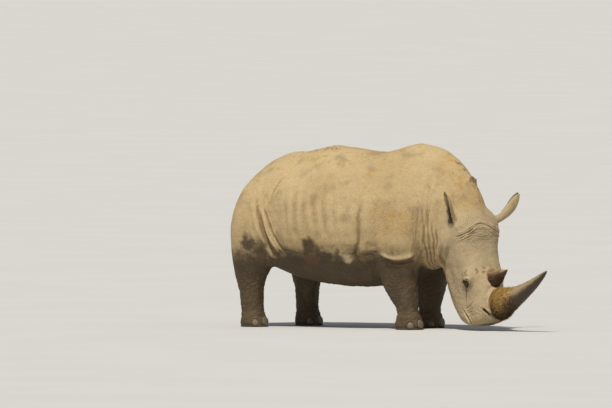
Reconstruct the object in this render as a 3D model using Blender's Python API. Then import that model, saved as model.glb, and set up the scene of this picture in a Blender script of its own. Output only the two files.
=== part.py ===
"""White rhinoceros, grazing: a still, life-size museum model in separate solids.

Metres. +X points forward, +Y to the animal's left and +Z up. The floor is z = 0. The model is built
with x = 0 midway between the fore and hind feet, and is shifted last, so that the origin lies on the
floor below the middle of its overall box. The flesh is lofted whole from named sections, fused,
creased and then parted with thin cuts, so that its outline runs on over the cuts.
"""

import math

import bmesh
import bpy
import numpy as np
from mathutils import Matrix, Vector

# Driving dimensions.
HUMP_HEIGHT = 1.762
SADDLE_HEIGHT = 1.675
LOIN_HEIGHT = 1.733
BELLY_CLEARANCE = 0.385
BARREL_HALF_WIDTH = 0.575
HEAD_LENGTH = 1.06
HEAD_TURN = math.radians(-20)
FACE_LEAN = math.radians(10)
POLL = Vector((1.50, -0.11, 1.12))
FRONT_HORN_HEIGHT = 0.70
REAR_HORN_HEIGHT = 0.20
EAR_LENGTH = 0.355
EYE_RADIUS = 0.021
TRACK_HALF = 0.28
SOLE_DEPTH = 0.012
CUT_GAP = 0.0003
SEAT_GAP = 0.0006
SHARPEST_LEAN = 0.2

# Mesh fineness.
VOXEL = 0.016
FLESH_FACES = 2640
SECTION_POINTS = 32
SIDES = {"right": -1, "left": 1}

# Toenails: their place, turn from straight ahead, half width and height.
NAIL_SUNK = 0.006
NAILS = (("outer", 50, 0.036, 0.076), ("middle", 0, 0.052, 0.094), ("inner", -50, 0.036, 0.076))

# Materials: colour, roughness.
HIDE = ((0.50, 0.40, 0.27, 1), 0.85)
HEAD_HIDE = ((0.44, 0.36, 0.26, 1), 0.85)
HORN = ((0.42, 0.33, 0.21, 1), 0.6)
WORN_HORN = ((0.24, 0.15, 0.09, 1), 0.65)
EYEBALL = ((0.02, 0.014, 0.01, 1), 0.08)
NAIL = ((0.36, 0.32, 0.26, 1), 0.55)


# Meshes.


def clear_scene():
    for obj in list(bpy.data.objects):
        bpy.data.objects.remove(obj)


def material(name, finish):
    made = bpy.data.materials.new(name)
    made.use_nodes = True
    shader = made.node_tree.nodes["Principled BSDF"]
    shader.inputs["Base Color"].default_value = finish[0]
    shader.inputs["Roughness"].default_value = finish[1]
    shader.inputs["Metallic"].default_value = 0.0
    made.diffuse_color = finish[0]
    return made


def add_object(name, mesh):
    obj = bpy.data.objects.new(name, mesh)
    bpy.context.scene.collection.objects.link(obj)
    return obj


def finish(obj, look):
    """Triangles, smooth shading and the piece's own material."""
    shape = bmesh.new()
    shape.from_mesh(obj.data)
    bmesh.ops.triangulate(shape, faces=shape.faces)
    shape.to_mesh(obj.data)
    shape.free()
    obj.data.shade_smooth()
    obj.data.set_sharp_from_angle(angle=math.radians(42))
    obj.data.materials.clear()
    obj.data.materials.append(material(obj.name + "_look", look))
    return obj


def section(top, bottom, half_width, side, wide=0.5, n_top=2.0, n_bottom=2.0):
    """A closed superellipse from top to bottom. It is widest at the fraction `wide` from the top."""
    axis = top - bottom
    centre = top - axis * wide
    ring = []
    for index in range(SECTION_POINTS):
        angle = 2 * math.pi * index / SECTION_POINTS
        across, along = math.cos(angle), math.sin(angle)
        power = 2 / (n_top if along > 0 else n_bottom)
        reach = wide if along > 0 else 1 - wide
        ring.append(
            centre
            + side * half_width * math.copysign(abs(across) ** power, across)
            + axis * reach * math.copysign(abs(along) ** power, along)
        )
    return ring


def loft(name, rings):
    """A closed mesh of triangles through the rings, its two ends filled."""
    shape = bmesh.new()
    loops = [[shape.verts.new(point) for point in ring] for ring in rings]
    for first, second in zip(loops, loops[1:]):
        for index, vertex in enumerate(first):
            after = (index + 1) % len(first)
            shape.faces.new((vertex, first[after], second[after], second[index]))
    shape.faces.new(loops[0][::-1])
    shape.faces.new(loops[-1])
    bmesh.ops.triangulate(shape, faces=shape.faces)
    bmesh.ops.recalc_face_normals(shape, faces=shape.faces)
    mesh = bpy.data.meshes.new(name)
    shape.to_mesh(mesh)
    shape.free()
    return add_object(name, mesh)


def flowing(rows, steps=4):
    """Rows of numbers run through smoothly (Catmull-Rom), with `steps` rows for each span."""
    rows = np.array(rows, float)
    ends = np.vstack([2 * rows[0] - rows[1], rows, 2 * rows[-1] - rows[-2]])
    out = []
    for index in range(len(rows) - 1):
        before, start, stop, after = ends[index : index + 4]
        for t in np.arange(steps) / steps:
            out.append(
                0.5
                * (
                    2 * start
                    + (stop - before) * t
                    + (2 * before - 5 * start + 4 * stop - after) * t**2
                    + (3 * start - before - 3 * stop + after) * t**3
                )
            )
    return np.array(out + [rows[-1]])


def applied(obj):
    """The object with its modifiers made part of its mesh."""
    graph = bpy.context.evaluated_depsgraph_get()
    mesh = bpy.data.meshes.new_from_object(obj.evaluated_get(graph))
    obj.modifiers.clear()
    obj.data = mesh
    return obj


def joined(name, objects):
    shape = bmesh.new()
    for obj in objects:
        shape.from_mesh(obj.data)
        bpy.data.objects.remove(obj)
    mesh = bpy.data.meshes.new(name)
    shape.to_mesh(mesh)
    shape.free()
    return add_object(name, mesh)


def copy_of(obj, name):
    return add_object(name, obj.data.copy())


def grown(obj, gap=CUT_GAP):
    """A helper copy whose faces all lie `gap` further out, also beside sharp edges."""
    copy = copy_of(obj, obj.name + "_grown")
    shape = bmesh.new()
    shape.from_mesh(copy.data)
    shape.normal_update()
    moves = []
    for vertex in shape.verts:
        lean = min(vertex.normal.dot(face.normal) for face in vertex.link_faces)
        moves.append(vertex.normal * (gap / max(lean, SHARPEST_LEAN)))
    for vertex, move in zip(shape.verts, moves):
        vertex.co += move
    shape.to_mesh(copy.data)
    shape.free()
    return copy


def cut(obj, tool, operation="DIFFERENCE"):
    boolean = obj.modifiers.new(operation.lower(), "BOOLEAN")
    boolean.operation = operation
    boolean.object = tool
    return applied(obj)


def part_off(body, name, tool):
    """What lies inside the tool becomes a new object, a thin cut away from the rest."""
    piece = cut(copy_of(body, name), tool, "INTERSECT")
    wider = grown(tool)
    cut(body, wider)
    bpy.data.objects.remove(wider)
    bpy.data.objects.remove(tool)
    return piece


def seat(piece, host):
    """Sinks the piece in a close pocket of its host."""
    wider = grown(piece, SEAT_GAP)
    cut(host, wider)
    bpy.data.objects.remove(wider)


def drop_chips(obj):
    """Keeps the largest connected piece: a pocket's edge can leave a crumb."""
    shape = bmesh.new()
    shape.from_mesh(obj.data)
    waiting = set(shape.verts)
    islands = []
    while waiting:
        edge_of_island = [waiting.pop()]
        island = []
        while edge_of_island:
            vertex = edge_of_island.pop()
            island.append(vertex)
            for edge in vertex.link_edges:
                other = edge.other_vert(vertex)
                if other in waiting:
                    waiting.remove(other)
                    edge_of_island.append(other)
        islands.append(island)
    islands.sort(key=len)
    for island in islands[:-1]:
        bmesh.ops.delete(shape, geom=island, context="VERTS")
    shape.to_mesh(obj.data)
    shape.free()


# The head's own frame: along runs from the poll down the face, rise stands out from the face.


UP = Vector((0, 0, 1))
HEADING = Vector((math.cos(HEAD_TURN), math.sin(HEAD_TURN), 0))
HEAD_LEFT = Vector((-math.sin(HEAD_TURN), math.cos(HEAD_TURN), 0))
ALONG = HEADING * math.sin(FACE_LEAN) - UP * math.cos(FACE_LEAN)
RISE = HEADING * math.cos(FACE_LEAN) + UP * math.sin(FACE_LEAN)


def on_head(along, rise, left=0.0):
    return POLL + ALONG * along + RISE * rise + HEAD_LEFT * left


# Flesh, section by section.


def trunk():
    # x, top, bottom, half width, widest height, roundness above and below.
    stations = (
        (-1.12, 1.23, 0.88, 0.12, 1.05, 2.0, 2.0),
        (-1.07, 1.34, 0.77, 0.25, 1.05, 1.9, 2.1),
        (-0.96, 1.465, 0.66, 0.38, 1.05, 1.8, 2.2),
        (-0.80, 1.585, 0.58, 0.46, 1.04, 1.7, 2.2),
        (-0.62, 1.66, 0.51, 0.51, 1.02, 1.7, 2.2),
        (-0.46, 1.672, 0.46, 0.535, 1.00, 1.75, 2.2),
        (-0.30, 1.70, 0.43, 0.555, 0.98, 1.8, 2.2),
        (-0.12, LOIN_HEIGHT, 0.405, BARREL_HALF_WIDTH, 0.96, 1.8, 2.2),
        (0.14, 1.71, BELLY_CLEARANCE, BARREL_HALF_WIDTH, 0.95, 1.85, 2.2),
        (0.42, SADDLE_HEIGHT, 0.40, 0.54, 0.97, 1.85, 2.2),
        (0.62, 1.725, 0.45, 0.48, 1.00, 1.75, 2.1),
        (0.80, HUMP_HEIGHT, 0.52, 0.425, 1.05, 1.65, 2.1),
        (0.98, 1.73, 0.60, 0.37, 1.08, 1.65, 2.1),
    )
    rings = []
    for x, top, bottom, half_width, widest, n_top, n_bottom in flowing(stations):
        wide = (top - widest) / (top - bottom)
        ends = Vector((x, 0, top)), Vector((x, 0, bottom))
        rings.append(section(*ends, half_width, Vector((0, 1, 0)), wide, n_top, n_bottom))
    return loft("trunk_form", rings)


def neck():
    # Crest x and z, throat x and z, half width; the rings turn with the head as they go.
    stations = (
        (0.78, 1.745, 0.80, 0.52, 0.42),
        (1.00, 1.72, 0.93, 0.56, 0.385),
        (1.15, 1.645, 0.99, 0.58, 0.355),
        (1.28, 1.52, 1.03, 0.60, 0.33),
        (1.38, 1.38, 1.06, 0.60, 0.31),
        (1.45, 1.25, 1.08, 0.60, 0.29),
        (1.50, 1.12, 1.10, 0.60, 0.265),
        (1.51, 1.00, 1.15, 0.60, 0.235),
    )
    rows = flowing(stations)
    rings = []
    for index, (crest_x, crest_z, throat_x, throat_z, half_width) in enumerate(rows):
        bend = (index / (len(rows) - 1)) ** 2
        turn = HEAD_TURN * bend
        y = POLL.y * bend
        side = Vector((-math.sin(turn), math.cos(turn), 0))
        ends = Vector((crest_x, y, crest_z)), Vector((throat_x, y, throat_z))
        rings.append(section(*ends, half_width, side, 0.55, 1.8, 2.2))
    return loft("neck_form", rings)


def head():
    # Distance down the face, rise of the face line, rise of the jaw line, half width, roundness.
    stations = (
        (-0.06, -0.05, -0.34, 0.20, 2.3, 2.2),
        (0.02, 0.005, -0.41, 0.25, 2.6, 2.2),
        (0.13, 0.03, -0.455, 0.276, 2.8, 2.2),
        (0.26, 0.015, -0.475, 0.258, 2.9, 2.2),
        (0.38, 0.01, -0.485, 0.245, 2.9, 2.3),
        (0.50, 0.03, -0.495, 0.232, 2.9, 2.4),
        (0.59, 0.06, -0.49, 0.218, 2.7, 2.5),
        (0.68, 0.09, -0.485, 0.204, 2.5, 2.6),
        (0.78, 0.115, -0.465, 0.184, 2.4, 2.7),
        (0.87, 0.13, -0.43, 0.170, 2.5, 2.8),
        (0.95, 0.12, -0.38, 0.168, 2.8, 3.0),
        (1.00, 0.09, -0.335, 0.162, 3.2, 3.3),
        (1.04, 0.04, -0.27, 0.146, 3.2, 3.2),
        (HEAD_LENGTH, -0.02, -0.20, 0.112, 2.6, 2.6),
    )
    rings = []
    for along, face, jaw, half_width, n_top, n_bottom in flowing(stations):
        ends = on_head(along, face), on_head(along, jaw)
        rings.append(section(*ends, half_width, HEAD_LEFT, 0.42, n_top, n_bottom))
    return loft("head_form", rings)


# Height, front and back reach from the leg's line, half width, distance from the midplane.
FORE_STATIONS = (
    (0.000, 0.145, 0.120, 0.122, 0.280),
    (0.045, 0.155, 0.125, 0.130, 0.280),
    (0.110, 0.125, 0.112, 0.118, 0.280),
    (0.180, 0.105, 0.105, 0.105, 0.282),
    (0.290, 0.130, 0.150, 0.118, 0.286),
    (0.400, 0.150, 0.190, 0.132, 0.292),
    (0.520, 0.165, 0.215, 0.145, 0.300),
    (0.660, 0.190, 0.225, 0.155, 0.318),
    (0.820, 0.215, 0.270, 0.170, 0.345),
    (1.000, 0.210, 0.270, 0.165, 0.330),
    (1.180, 0.180, 0.230, 0.150, 0.275),
    (1.360, 0.120, 0.160, 0.110, 0.190),
)
HIND_STATIONS = (
    (0.000, 0.145, 0.118, 0.118, 0.280),
    (0.045, 0.152, 0.122, 0.125, 0.280),
    (0.110, 0.115, 0.112, 0.112, 0.280),
    (0.200, 0.100, 0.118, 0.102, 0.284),
    (0.340, 0.105, 0.138, 0.105, 0.290),
    (0.460, 0.135, 0.170, 0.120, 0.298),
    (0.580, 0.205, 0.180, 0.145, 0.310),
    (0.720, 0.290, 0.190, 0.180, 0.325),
    (0.900, 0.350, 0.205, 0.215, 0.325),
    (1.100, 0.350, 0.190, 0.220, 0.300),
    (1.290, 0.290, 0.120, 0.180, 0.260),
    (1.420, 0.200, 0.030, 0.120, 0.220),
)
# The heights between which a leg's line goes over from its foot's x to its joint's x.
FORE_BEND = (0.12, 0.50)
HIND_BEND = (0.45, 1.15)
# For each leg: its stations, its bend, its joint's x, its foot's x and its side.
LEGS = {
    "leg_front_right": (FORE_STATIONS, FORE_BEND, 0.74, 0.81, -1),
    "leg_front_left": (FORE_STATIONS, FORE_BEND, 0.74, 0.725, 1),
    "leg_hind_right": (HIND_STATIONS, HIND_BEND, -0.86, -0.885, -1),
    "leg_hind_left": (HIND_STATIONS, HIND_BEND, -0.86, -0.61, 1),
}


def leg_line(leg, height):
    """The x of a leg's line at a height."""
    _, (low, high), joint_x, foot_x, _ = LEGS[leg]
    up = min(max((height - low) / (high - low), 0), 1)
    ease = up * up * (3 - 2 * up)
    return foot_x + (joint_x - foot_x) * ease


def leg_form(leg):
    stations, _, _, _, side = LEGS[leg]
    rings = []
    for height, front, back, half_width, out in flowing(stations):
        x = leg_line(leg, height)
        ends = Vector((x + front, side * out, height)), Vector((x - back, side * out, height))
        wide = front / (front + back)
        rings.append(section(*ends, half_width, Vector((0, 1, 0)), wide, 2.3, 2.2))
    return loft(leg + "_form", rings)


def flank_web(side):
    """The fold of skin that joins the thigh to the belly, as a flat lens."""
    rings = []
    for along in np.linspace(0, 1, 7):
        x = -0.68 + 0.27 * along
        middle = 0.76 - 0.04 * along
        reach = 0.19 - 0.08 * along
        ends = Vector((x, side * 0.42, middle + reach)), Vector((x, side * 0.38, middle - reach))
        rings.append(section(*ends, 0.07, Vector((0, 1, 0))))
    return loft("flank_web", rings)


def tail():
    # Distance down the tail line: x, y, z, half width, half thickness.
    stations = (
        (-1.02, 0.000, 1.31, 0.065, 0.065),
        (-1.09, 0.004, 1.285, 0.058, 0.052),
        (-1.145, 0.012, 1.20, 0.046, 0.038),
        (-1.178, 0.026, 1.08, 0.036, 0.028),
        (-1.192, 0.044, 0.95, 0.028, 0.023),
        (-1.190, 0.060, 0.82, 0.024, 0.020),
        (-1.180, 0.072, 0.72, 0.034, 0.016),
        (-1.170, 0.080, 0.62, 0.030, 0.013),
        (-1.165, 0.086, 0.55, 0.008, 0.006),
    )
    rows = flowing(stations, 2)
    line = [Vector(row[:3]) for row in rows]
    rings = []
    for index, row in enumerate(rows):
        before, after = line[max(index - 1, 0)], line[min(index + 1, len(line) - 1)]
        back = (after - before).cross(Vector((0, 1, 0))).normalized()
        thickness = back * row[4]
        rings.append(ellipse(line[index], Vector((0, 1, 0)) * row[3], thickness, 10))
    return loft("tail", rings)


def ellipse(centre, one, other, count):
    angles = [2 * math.pi * index / count for index in range(count)]
    return [centre + one * math.cos(angle) + other * math.sin(angle) for angle in angles]


# Folds that the solids show.


def away_from_line(points, line):
    """Each point's distance from a line through some given points."""
    nearest = np.full(len(points), np.inf)
    for start, stop in zip(line, line[1:]):
        run = np.array(stop) - np.array(start)
        t = np.clip((points - start) @ run / (run @ run), 0, 1)
        gap = np.linalg.norm(points - (start + t[:, None] * run), axis=1)
        nearest = np.minimum(nearest, gap)
    return nearest


def mirrored(line):
    return [(x, -y, z) for x, y, z in line]


def creases():
    """Depth, half width and line of each fold. Depths below zero stand out."""
    behind_shoulder = [(0.40, -0.60, 1.22), (0.40, -0.62, 0.95), (0.42, -0.60, 0.66), (0.44, -0.50, 0.50)]
    thigh_front = [(-0.52, -0.50, 1.50), (-0.62, -0.57, 1.20), (-0.56, -0.58, 0.92), (-0.42, -0.50, 0.62)]
    neck_fold = [(1.05, -0.30, 1.45), (1.07, -0.38, 1.20), (1.04, -0.38, 0.90), (1.00, -0.30, 0.65)]
    throat_fold = [(1.17, -0.30, 1.20), (1.16, -0.36, 0.95), (1.10, -0.30, 0.70)]
    elbow = [(0.55, -0.52, 0.66), (0.75, -0.53, 0.63), (0.95, -0.46, 0.66)]
    hip = [(-0.52, -0.40, 1.42), (-0.44, -0.47, 1.36)]
    blade = [(0.72, -0.28, 1.55), (0.78, -0.43, 1.20)]
    folds = []
    for line, depth, width in (
        (behind_shoulder, 0.030, 0.045),
        (thigh_front, 0.024, 0.045),
        (neck_fold, 0.020, 0.030),
        (throat_fold, 0.020, 0.028),
        (elbow, 0.028, 0.040),
        (hip, -0.022, 0.090),
        (blade, -0.016, 0.090),
    ):
        folds.append((line, depth, width))
        folds.append((mirrored(line), depth, width))
    brow = [on_head(0.20, -0.20, -0.26), on_head(0.24, -0.04, -0.17), on_head(0.20, 0.03, 0)]
    brow += [on_head(0.24, -0.04, 0.17), on_head(0.20, -0.20, 0.26)]
    folds.append((brow, -0.012, 0.035))
    for side in SIDES.values():
        orbit = [on_head(0.58, -0.07, side * 0.20), on_head(0.66, -0.07, side * 0.20)]
        cheek = [on_head(0.50, -0.30, side * 0.20), on_head(0.72, -0.26, side * 0.17)]
        folds.append((orbit, -0.016, 0.05))
        folds.append((cheek, 0.012, 0.05))
    return folds


def crease(mesh):
    points = np.array([vertex.co for vertex in mesh.vertices])
    normals = np.array([vertex.normal for vertex in mesh.vertices])
    shift = np.zeros(len(points))
    for line, depth, width in creases():
        gap = away_from_line(points, np.array([tuple(point) for point in line]))
        shift -= depth * np.exp(-((gap / width) ** 2))
    points += normals * shift[:, None]
    flat_soles(points)
    mesh.vertices.foreach_set("co", points.ravel())
    mesh.update()


def flat_soles(points):
    """Everything within SOLE_DEPTH of the floor lies on it."""
    points[points[:, 2] < SOLE_DEPTH, 2] = 0.0


def flesh():
    forms = [trunk(), neck(), head()]
    forms += [leg_form(leg) for leg in LEGS]
    forms += [flank_web(side) for side in SIDES.values()]
    body = joined("flesh", forms)
    remesh = body.modifiers.new("fuse", "REMESH")
    remesh.mode = "VOXEL"
    remesh.voxel_size = VOXEL
    soften = body.modifiers.new("soften", "SMOOTH")
    soften.factor = 0.5
    soften.iterations = 10
    applied(body)
    crease(body.data)
    thin = body.modifiers.new("thin", "DECIMATE")
    thin.ratio = FLESH_FACES / (2 * len(body.data.polygons))
    applied(body)
    points = np.array([vertex.co for vertex in body.data.vertices])
    flat_soles(points)
    body.data.vertices.foreach_set("co", points.ravel())
    return body


# Cutting tools. A sleeve reaches from near the midplane to beyond the flank.


SLEEVE_REACH = (0.11, 0.85)
SLEEVE_LEVELS = (-0.05, 0.20, 0.42)
SLEEVE_HALF_LENGTH = 0.27

def half_space(name, point, normal, reach=3.0):
    """A large block on one side of a plane."""
    mesh = bpy.data.meshes.new(name)
    shape = bmesh.new()
    bmesh.ops.create_cube(shape, size=2 * reach)
    bmesh.ops.translate(shape, verts=shape.verts, vec=(0, 0, reach))
    facing = UP.rotation_difference(normal.normalized()).to_matrix().to_4x4()
    bmesh.ops.transform(shape, verts=shape.verts, matrix=Matrix.Translation(point) @ facing)
    shape.to_mesh(mesh)
    shape.free()
    return add_object(name, mesh)


def sleeve(leg, shoulder_height, arch_height, half_length):
    """Surrounds a leg, and ends above it in an arch inside the trunk."""
    _, _, joint_x, _, side = LEGS[leg]
    inner, outer = SLEEVE_REACH
    middle = side * (inner + outer) / 2
    half = (outer - inner) / 2
    rings = []
    for height in SLEEVE_LEVELS:
        centre = Vector((leg_line(leg, height), middle, height))
        rings.append(ellipse(centre, Vector((SLEEVE_HALF_LENGTH, 0, 0)), Vector((0, half, 0)), 24))
    for angle in np.linspace(0, 0.48 * math.pi, 7):
        height = shoulder_height + (arch_height - shoulder_height) * math.sin(angle)
        narrow = half * (0.45 + 0.55 * math.cos(angle))
        centre = Vector((joint_x, middle + side * (half - narrow), height))
        along = Vector((half_length * math.cos(angle), 0, 0))
        rings.append(ellipse(centre, along, Vector((0, narrow, 0)), 24))
    return loft(leg + "_sleeve", rings)


# Pieces set into the flesh.


def front_horn():
    # Share of the height, shift along the face, half length, half width.
    stations = (
        (-0.14, 0.004, 0.110, 0.084),
        (-0.03, 0.000, 0.142, 0.106),
        (0.07, -0.006, 0.138, 0.106),
        (0.16, -0.020, 0.120, 0.096),
        (0.32, -0.038, 0.096, 0.080),
        (0.52, -0.075, 0.074, 0.062),
        (0.72, -0.122, 0.052, 0.045),
        (0.87, -0.165, 0.033, 0.030),
        (0.96, -0.194, 0.018, 0.017),
        (1.00, -0.208, 0.006, 0.006),
    )
    rings = []
    for share, shift, length, width in stations:
        centre = on_head(0.905 + shift, 0.145 + FRONT_HORN_HEIGHT * share)
        rings.append(ellipse(centre, ALONG * length, HEAD_LEFT * width, 16))
    return loft("horn_front", rings)


def rear_horn():
    stations = (
        (-0.20, 0.000, 0.080, 0.062),
        (0.00, 0.000, 0.088, 0.070),
        (0.25, -0.004, 0.074, 0.060),
        (0.55, -0.020, 0.048, 0.040),
        (0.85, -0.038, 0.022, 0.018),
        (1.00, -0.052, 0.007, 0.006),
    )
    rings = []
    for share, shift, length, width in stations:
        centre = on_head(0.65 + shift, 0.085 + REAR_HORN_HEIGHT * share)
        rings.append(ellipse(centre, ALONG * length, HEAD_LEFT * width, 12))
    return loft("horn_rear", rings)


def ear(side_name, base, axis, opening, curve):
    """A rolled tube at its foot, that opens into a pointed cup facing `opening`."""
    # Share of the length: half width, depth behind, and the inner face from full (-1) to hollow.
    stations = (
        (0.00, 0.046, 0.050, -1.00),
        (0.14, 0.042, 0.048, -1.00),
        (0.26, 0.044, 0.048, -0.30),
        (0.38, 0.050, 0.048, 0.55),
        (0.54, 0.060, 0.047, 0.72),
        (0.70, 0.066, 0.041, 0.70),
        (0.84, 0.055, 0.030, 0.60),
        (0.94, 0.031, 0.017, 0.40),
        (1.00, 0.008, 0.006, -0.50),
    )
    wall = 0.006
    steps = 8
    whole = axis.normalized() * EAR_LENGTH
    rings = []
    for share, width, depth, hollow in stations:
        centre = base + whole * share + curve * share**2
        tangent = whole + 2 * curve * share
        across = tangent.cross(opening).normalized()
        forward = across.cross(tangent).normalized()
        ring = []
        for index in range(2 * steps - 2):
            outside = index < steps
            angle = math.pi * (min(index, 2 * steps - 2 - index) / (steps - 1) - 0.5)
            reach = width if outside else width - wall
            sunk = depth if outside else depth * hollow
            ring.append(centre + across * reach * math.sin(angle) - forward * sunk * math.cos(angle))
        rings.append(ring)
    return loft("ear_" + side_name, rings)


def eye(side_name, skull):
    """A ball whose front stands a little out of the skin over it."""
    side = SIDES[side_name]
    outside = on_head(0.675, -0.085, side * 0.5)
    _, skin, _, _ = skull.ray_cast(outside, HEAD_LEFT * -side)
    mesh = bpy.data.meshes.new("eye_" + side_name)
    shape = bmesh.new()
    bmesh.ops.create_icosphere(shape, subdivisions=2, radius=EYE_RADIUS)
    bmesh.ops.translate(shape, verts=shape.verts, vec=skin - HEAD_LEFT * side * EYE_RADIUS * 0.45)
    shape.to_mesh(mesh)
    shape.free()
    return add_object("eye_" + side_name, mesh)


def toenail(name, centre, facing, half_width, height):
    """A broad, rounded plate on the front of a toe."""
    across = UP.cross(facing).normalized()
    rings = []
    for share in (-0.94, -0.4, 0.4, 0.94):
        size = math.sqrt(1 - abs(share) ** 2.6)
        level = Vector((0, 0, height * share / 2)) - facing * 0.010 * (share + 1)
        rings.append(ellipse(centre + level, across * half_width * size, facing * 0.024 * size, 8))
    return loft(name, rings)


def toenails(leg, solid):
    """Three nails round the front of the foot, sunk in its skin."""
    _, _, _, foot_x, side = LEGS[leg]
    made = []
    for label, turn, half_width, height in NAILS:
        angle = math.radians(turn) * side
        facing = Vector((math.cos(angle), math.sin(angle), 0))
        middle = Vector((foot_x, side * TRACK_HALF, 0.004 + height / 2))
        _, skin, _, _ = solid.ray_cast(middle + facing * 0.4, -facing)
        name = f"nail_{leg[4:]}_{label}"
        made.append(toenail(name, skin - facing * NAIL_SUNK, facing, half_width, height))
    return made


def centre_on_floor(objects):
    """Shifts the model along the floor, so that its overall box is centred on the origin."""
    points = np.array([vertex.co for obj in objects for vertex in obj.data.vertices])
    middle = (points.min(axis=0) + points.max(axis=0)) / 2
    shift = Matrix.Translation((-middle[0], -middle[1], 0))
    for obj in objects:
        obj.data.transform(shift)


def main():
    clear_scene()
    body = flesh()
    neck_plane = half_space("neck_plane", Vector((1.02, 0, 1.10)), Vector((1, 0, 0.04)))
    front = part_off(body, "neck", neck_plane)
    head_plane = half_space("head_plane", Vector((1.16, -0.03, 0.97)), Vector((0.82, -0.18, -0.52)))
    skull = part_off(front, "head", head_plane)
    legs = {}
    for leg in LEGS:
        fore = leg.startswith("leg_front")
        tool = sleeve(leg, 0.52, 0.92, 0.30) if fore else sleeve(leg, 0.56, 1.30, 0.42)
        legs[leg] = part_off(body, leg, tool)
    body.name = "trunk"

    hanging = tail()
    seat(hanging, body)
    near_ear = ear(
        "right",
        base=on_head(0.10, -0.14, -0.235),
        axis=UP - HEAD_LEFT * 0.58 + HEADING * 0.06,
        opening=-HEAD_LEFT * 0.95 - HEADING * 0.4,
        curve=HEADING * 0.042 + HEAD_LEFT * 0.023,
    )
    far_ear = ear(
        "left",
        base=on_head(0.07, -0.12, 0.23),
        axis=UP * 0.11 + HEAD_LEFT * 0.343 + HEADING * 0.086,
        opening=HEAD_LEFT * 0.16 - HEADING * 0.82 + UP * 0.55,
        curve=UP * 0.15 - HEAD_LEFT * 0.025 - HEADING * 0.047,
    )
    horns = [front_horn(), rear_horn()]
    eyes = [eye(side, skull) for side in SIDES]
    fittings = [near_ear, far_ear] + horns + eyes
    for piece in fittings:
        seat(piece, skull)
    nails = []
    for leg, solid in legs.items():
        for nail in toenails(leg, solid):
            seat(nail, solid)
            nails.append(nail)

    for piece in [body, front, skull] + list(legs.values()):
        drop_chips(piece)
    for piece in [body, front, hanging] + list(legs.values()):
        finish(piece, HIDE)
    for piece in (skull, near_ear, far_ear):
        finish(piece, HEAD_HIDE)
    finish(horns[0], HORN)
    finish(horns[1], WORN_HORN)
    for piece in eyes:
        finish(piece, EYEBALL)
    for piece in nails:
        finish(piece, NAIL)
    centre_on_floor(list(bpy.data.objects))


main()
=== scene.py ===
"""The looks of a life-size white rhinoceros model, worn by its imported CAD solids.

Metres. The skin is modelled in the body's own frame, whose x = 0 lies midway between the fore and
hind feet, with +X forward, +Y to the animal's left and +Z up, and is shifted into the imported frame
last. One skin stands for all the flesh. It starts as the solids themselves, fused and smoothed, and
then takes its folds, pleats, lids, nostrils and wrinkles as moves along its normals.
"""

import itertools
import math

import bmesh
import bpy
import numpy as np
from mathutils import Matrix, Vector
from mathutils.bvhtree import BVHTree


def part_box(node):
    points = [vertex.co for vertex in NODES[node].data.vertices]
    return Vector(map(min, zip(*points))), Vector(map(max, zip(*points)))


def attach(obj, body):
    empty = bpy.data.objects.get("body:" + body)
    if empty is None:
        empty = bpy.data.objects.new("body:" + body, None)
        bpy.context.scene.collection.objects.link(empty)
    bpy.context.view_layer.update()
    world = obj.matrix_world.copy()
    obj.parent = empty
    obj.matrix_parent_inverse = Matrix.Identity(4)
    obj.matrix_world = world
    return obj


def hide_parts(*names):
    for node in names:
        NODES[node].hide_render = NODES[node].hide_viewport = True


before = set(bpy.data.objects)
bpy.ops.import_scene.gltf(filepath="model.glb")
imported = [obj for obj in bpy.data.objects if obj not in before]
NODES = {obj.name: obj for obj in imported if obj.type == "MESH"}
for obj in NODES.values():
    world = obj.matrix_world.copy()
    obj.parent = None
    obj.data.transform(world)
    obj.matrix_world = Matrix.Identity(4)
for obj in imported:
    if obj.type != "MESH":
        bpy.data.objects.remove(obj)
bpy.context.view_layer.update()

# Places and sizes of the body, in its own frame.
BODY_ORIGIN = np.array((-0.5912, 0.0, 0.0))
UP = np.array((0.0, 0.0, 1.0))
HEAD_TURN = math.radians(-20)
FACE_LEAN = math.radians(10)
POLL = np.array((1.50, -0.11, 1.12))
HEADING = np.array((math.cos(HEAD_TURN), math.sin(HEAD_TURN), 0.0))
HEAD_LEFT = np.array((-math.sin(HEAD_TURN), math.cos(HEAD_TURN), 0.0))
ALONG = HEADING * math.sin(FACE_LEAN) - UP * math.cos(FACE_LEAN)
RISE = HEADING * math.cos(FACE_LEAN) + UP * math.sin(FACE_LEAN)
SIDES = {"right": -1, "left": 1}
EYE_RADIUS = 0.021
# A horn's foot, as places along and out of the face, and its height.
FRONT_HORN_FOOT, FRONT_HORN_HEIGHT = (0.905, 0.145), 0.70
REAR_HORN_FOOT, REAR_HORN_HEIGHT = (0.65, 0.085), 0.20
EAR_LENGTH = 0.355
SOLE_DEPTH = 0.012
SOLE_CENTRES = ((0.821, -0.281), (0.737, 0.278), (-0.870, -0.281), (-0.600, 0.277))

# Mesh fineness, and how often the meshes are smoothed.
BASE_VOXEL = 0.016
SKIN_VOXEL = 0.007
POCKET_PASSES = 400
BASE_ROUNDS = 70
SKIN_ROUNDS = 12
FINE_ROUNDS = 3

# Names of the solids.
LEGS = [f"leg_{end}_{side}" for end in ("front", "hind") for side in SIDES]
EARS = ["ear_right", "ear_left"]
FLESH = ["trunk", "neck", "head", "tail"] + LEGS
NAILS = [name for name in NODES if name.startswith("nail_")]
EYES = ["eye_right", "eye_left"]
HORNS = ["horn_front", "horn_rear"]


# Numbers.


def on_head(along, rise, left=0.0):
    """A place in the head's own frame: down the face, out of the face and to the animal's left."""
    return POLL + ALONG * along + RISE * rise + HEAD_LEFT * left


def head_place(points):
    apart = points - POLL
    return apart @ ALONG, apart @ RISE, apart @ HEAD_LEFT


def eased(value, low, high):
    """0 up to low, 1 from high on, and smooth between. With high below low it falls instead."""
    t = np.clip((value - low) / (high - low), 0, 1)
    return t * t * (3 - 2 * t)


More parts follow.
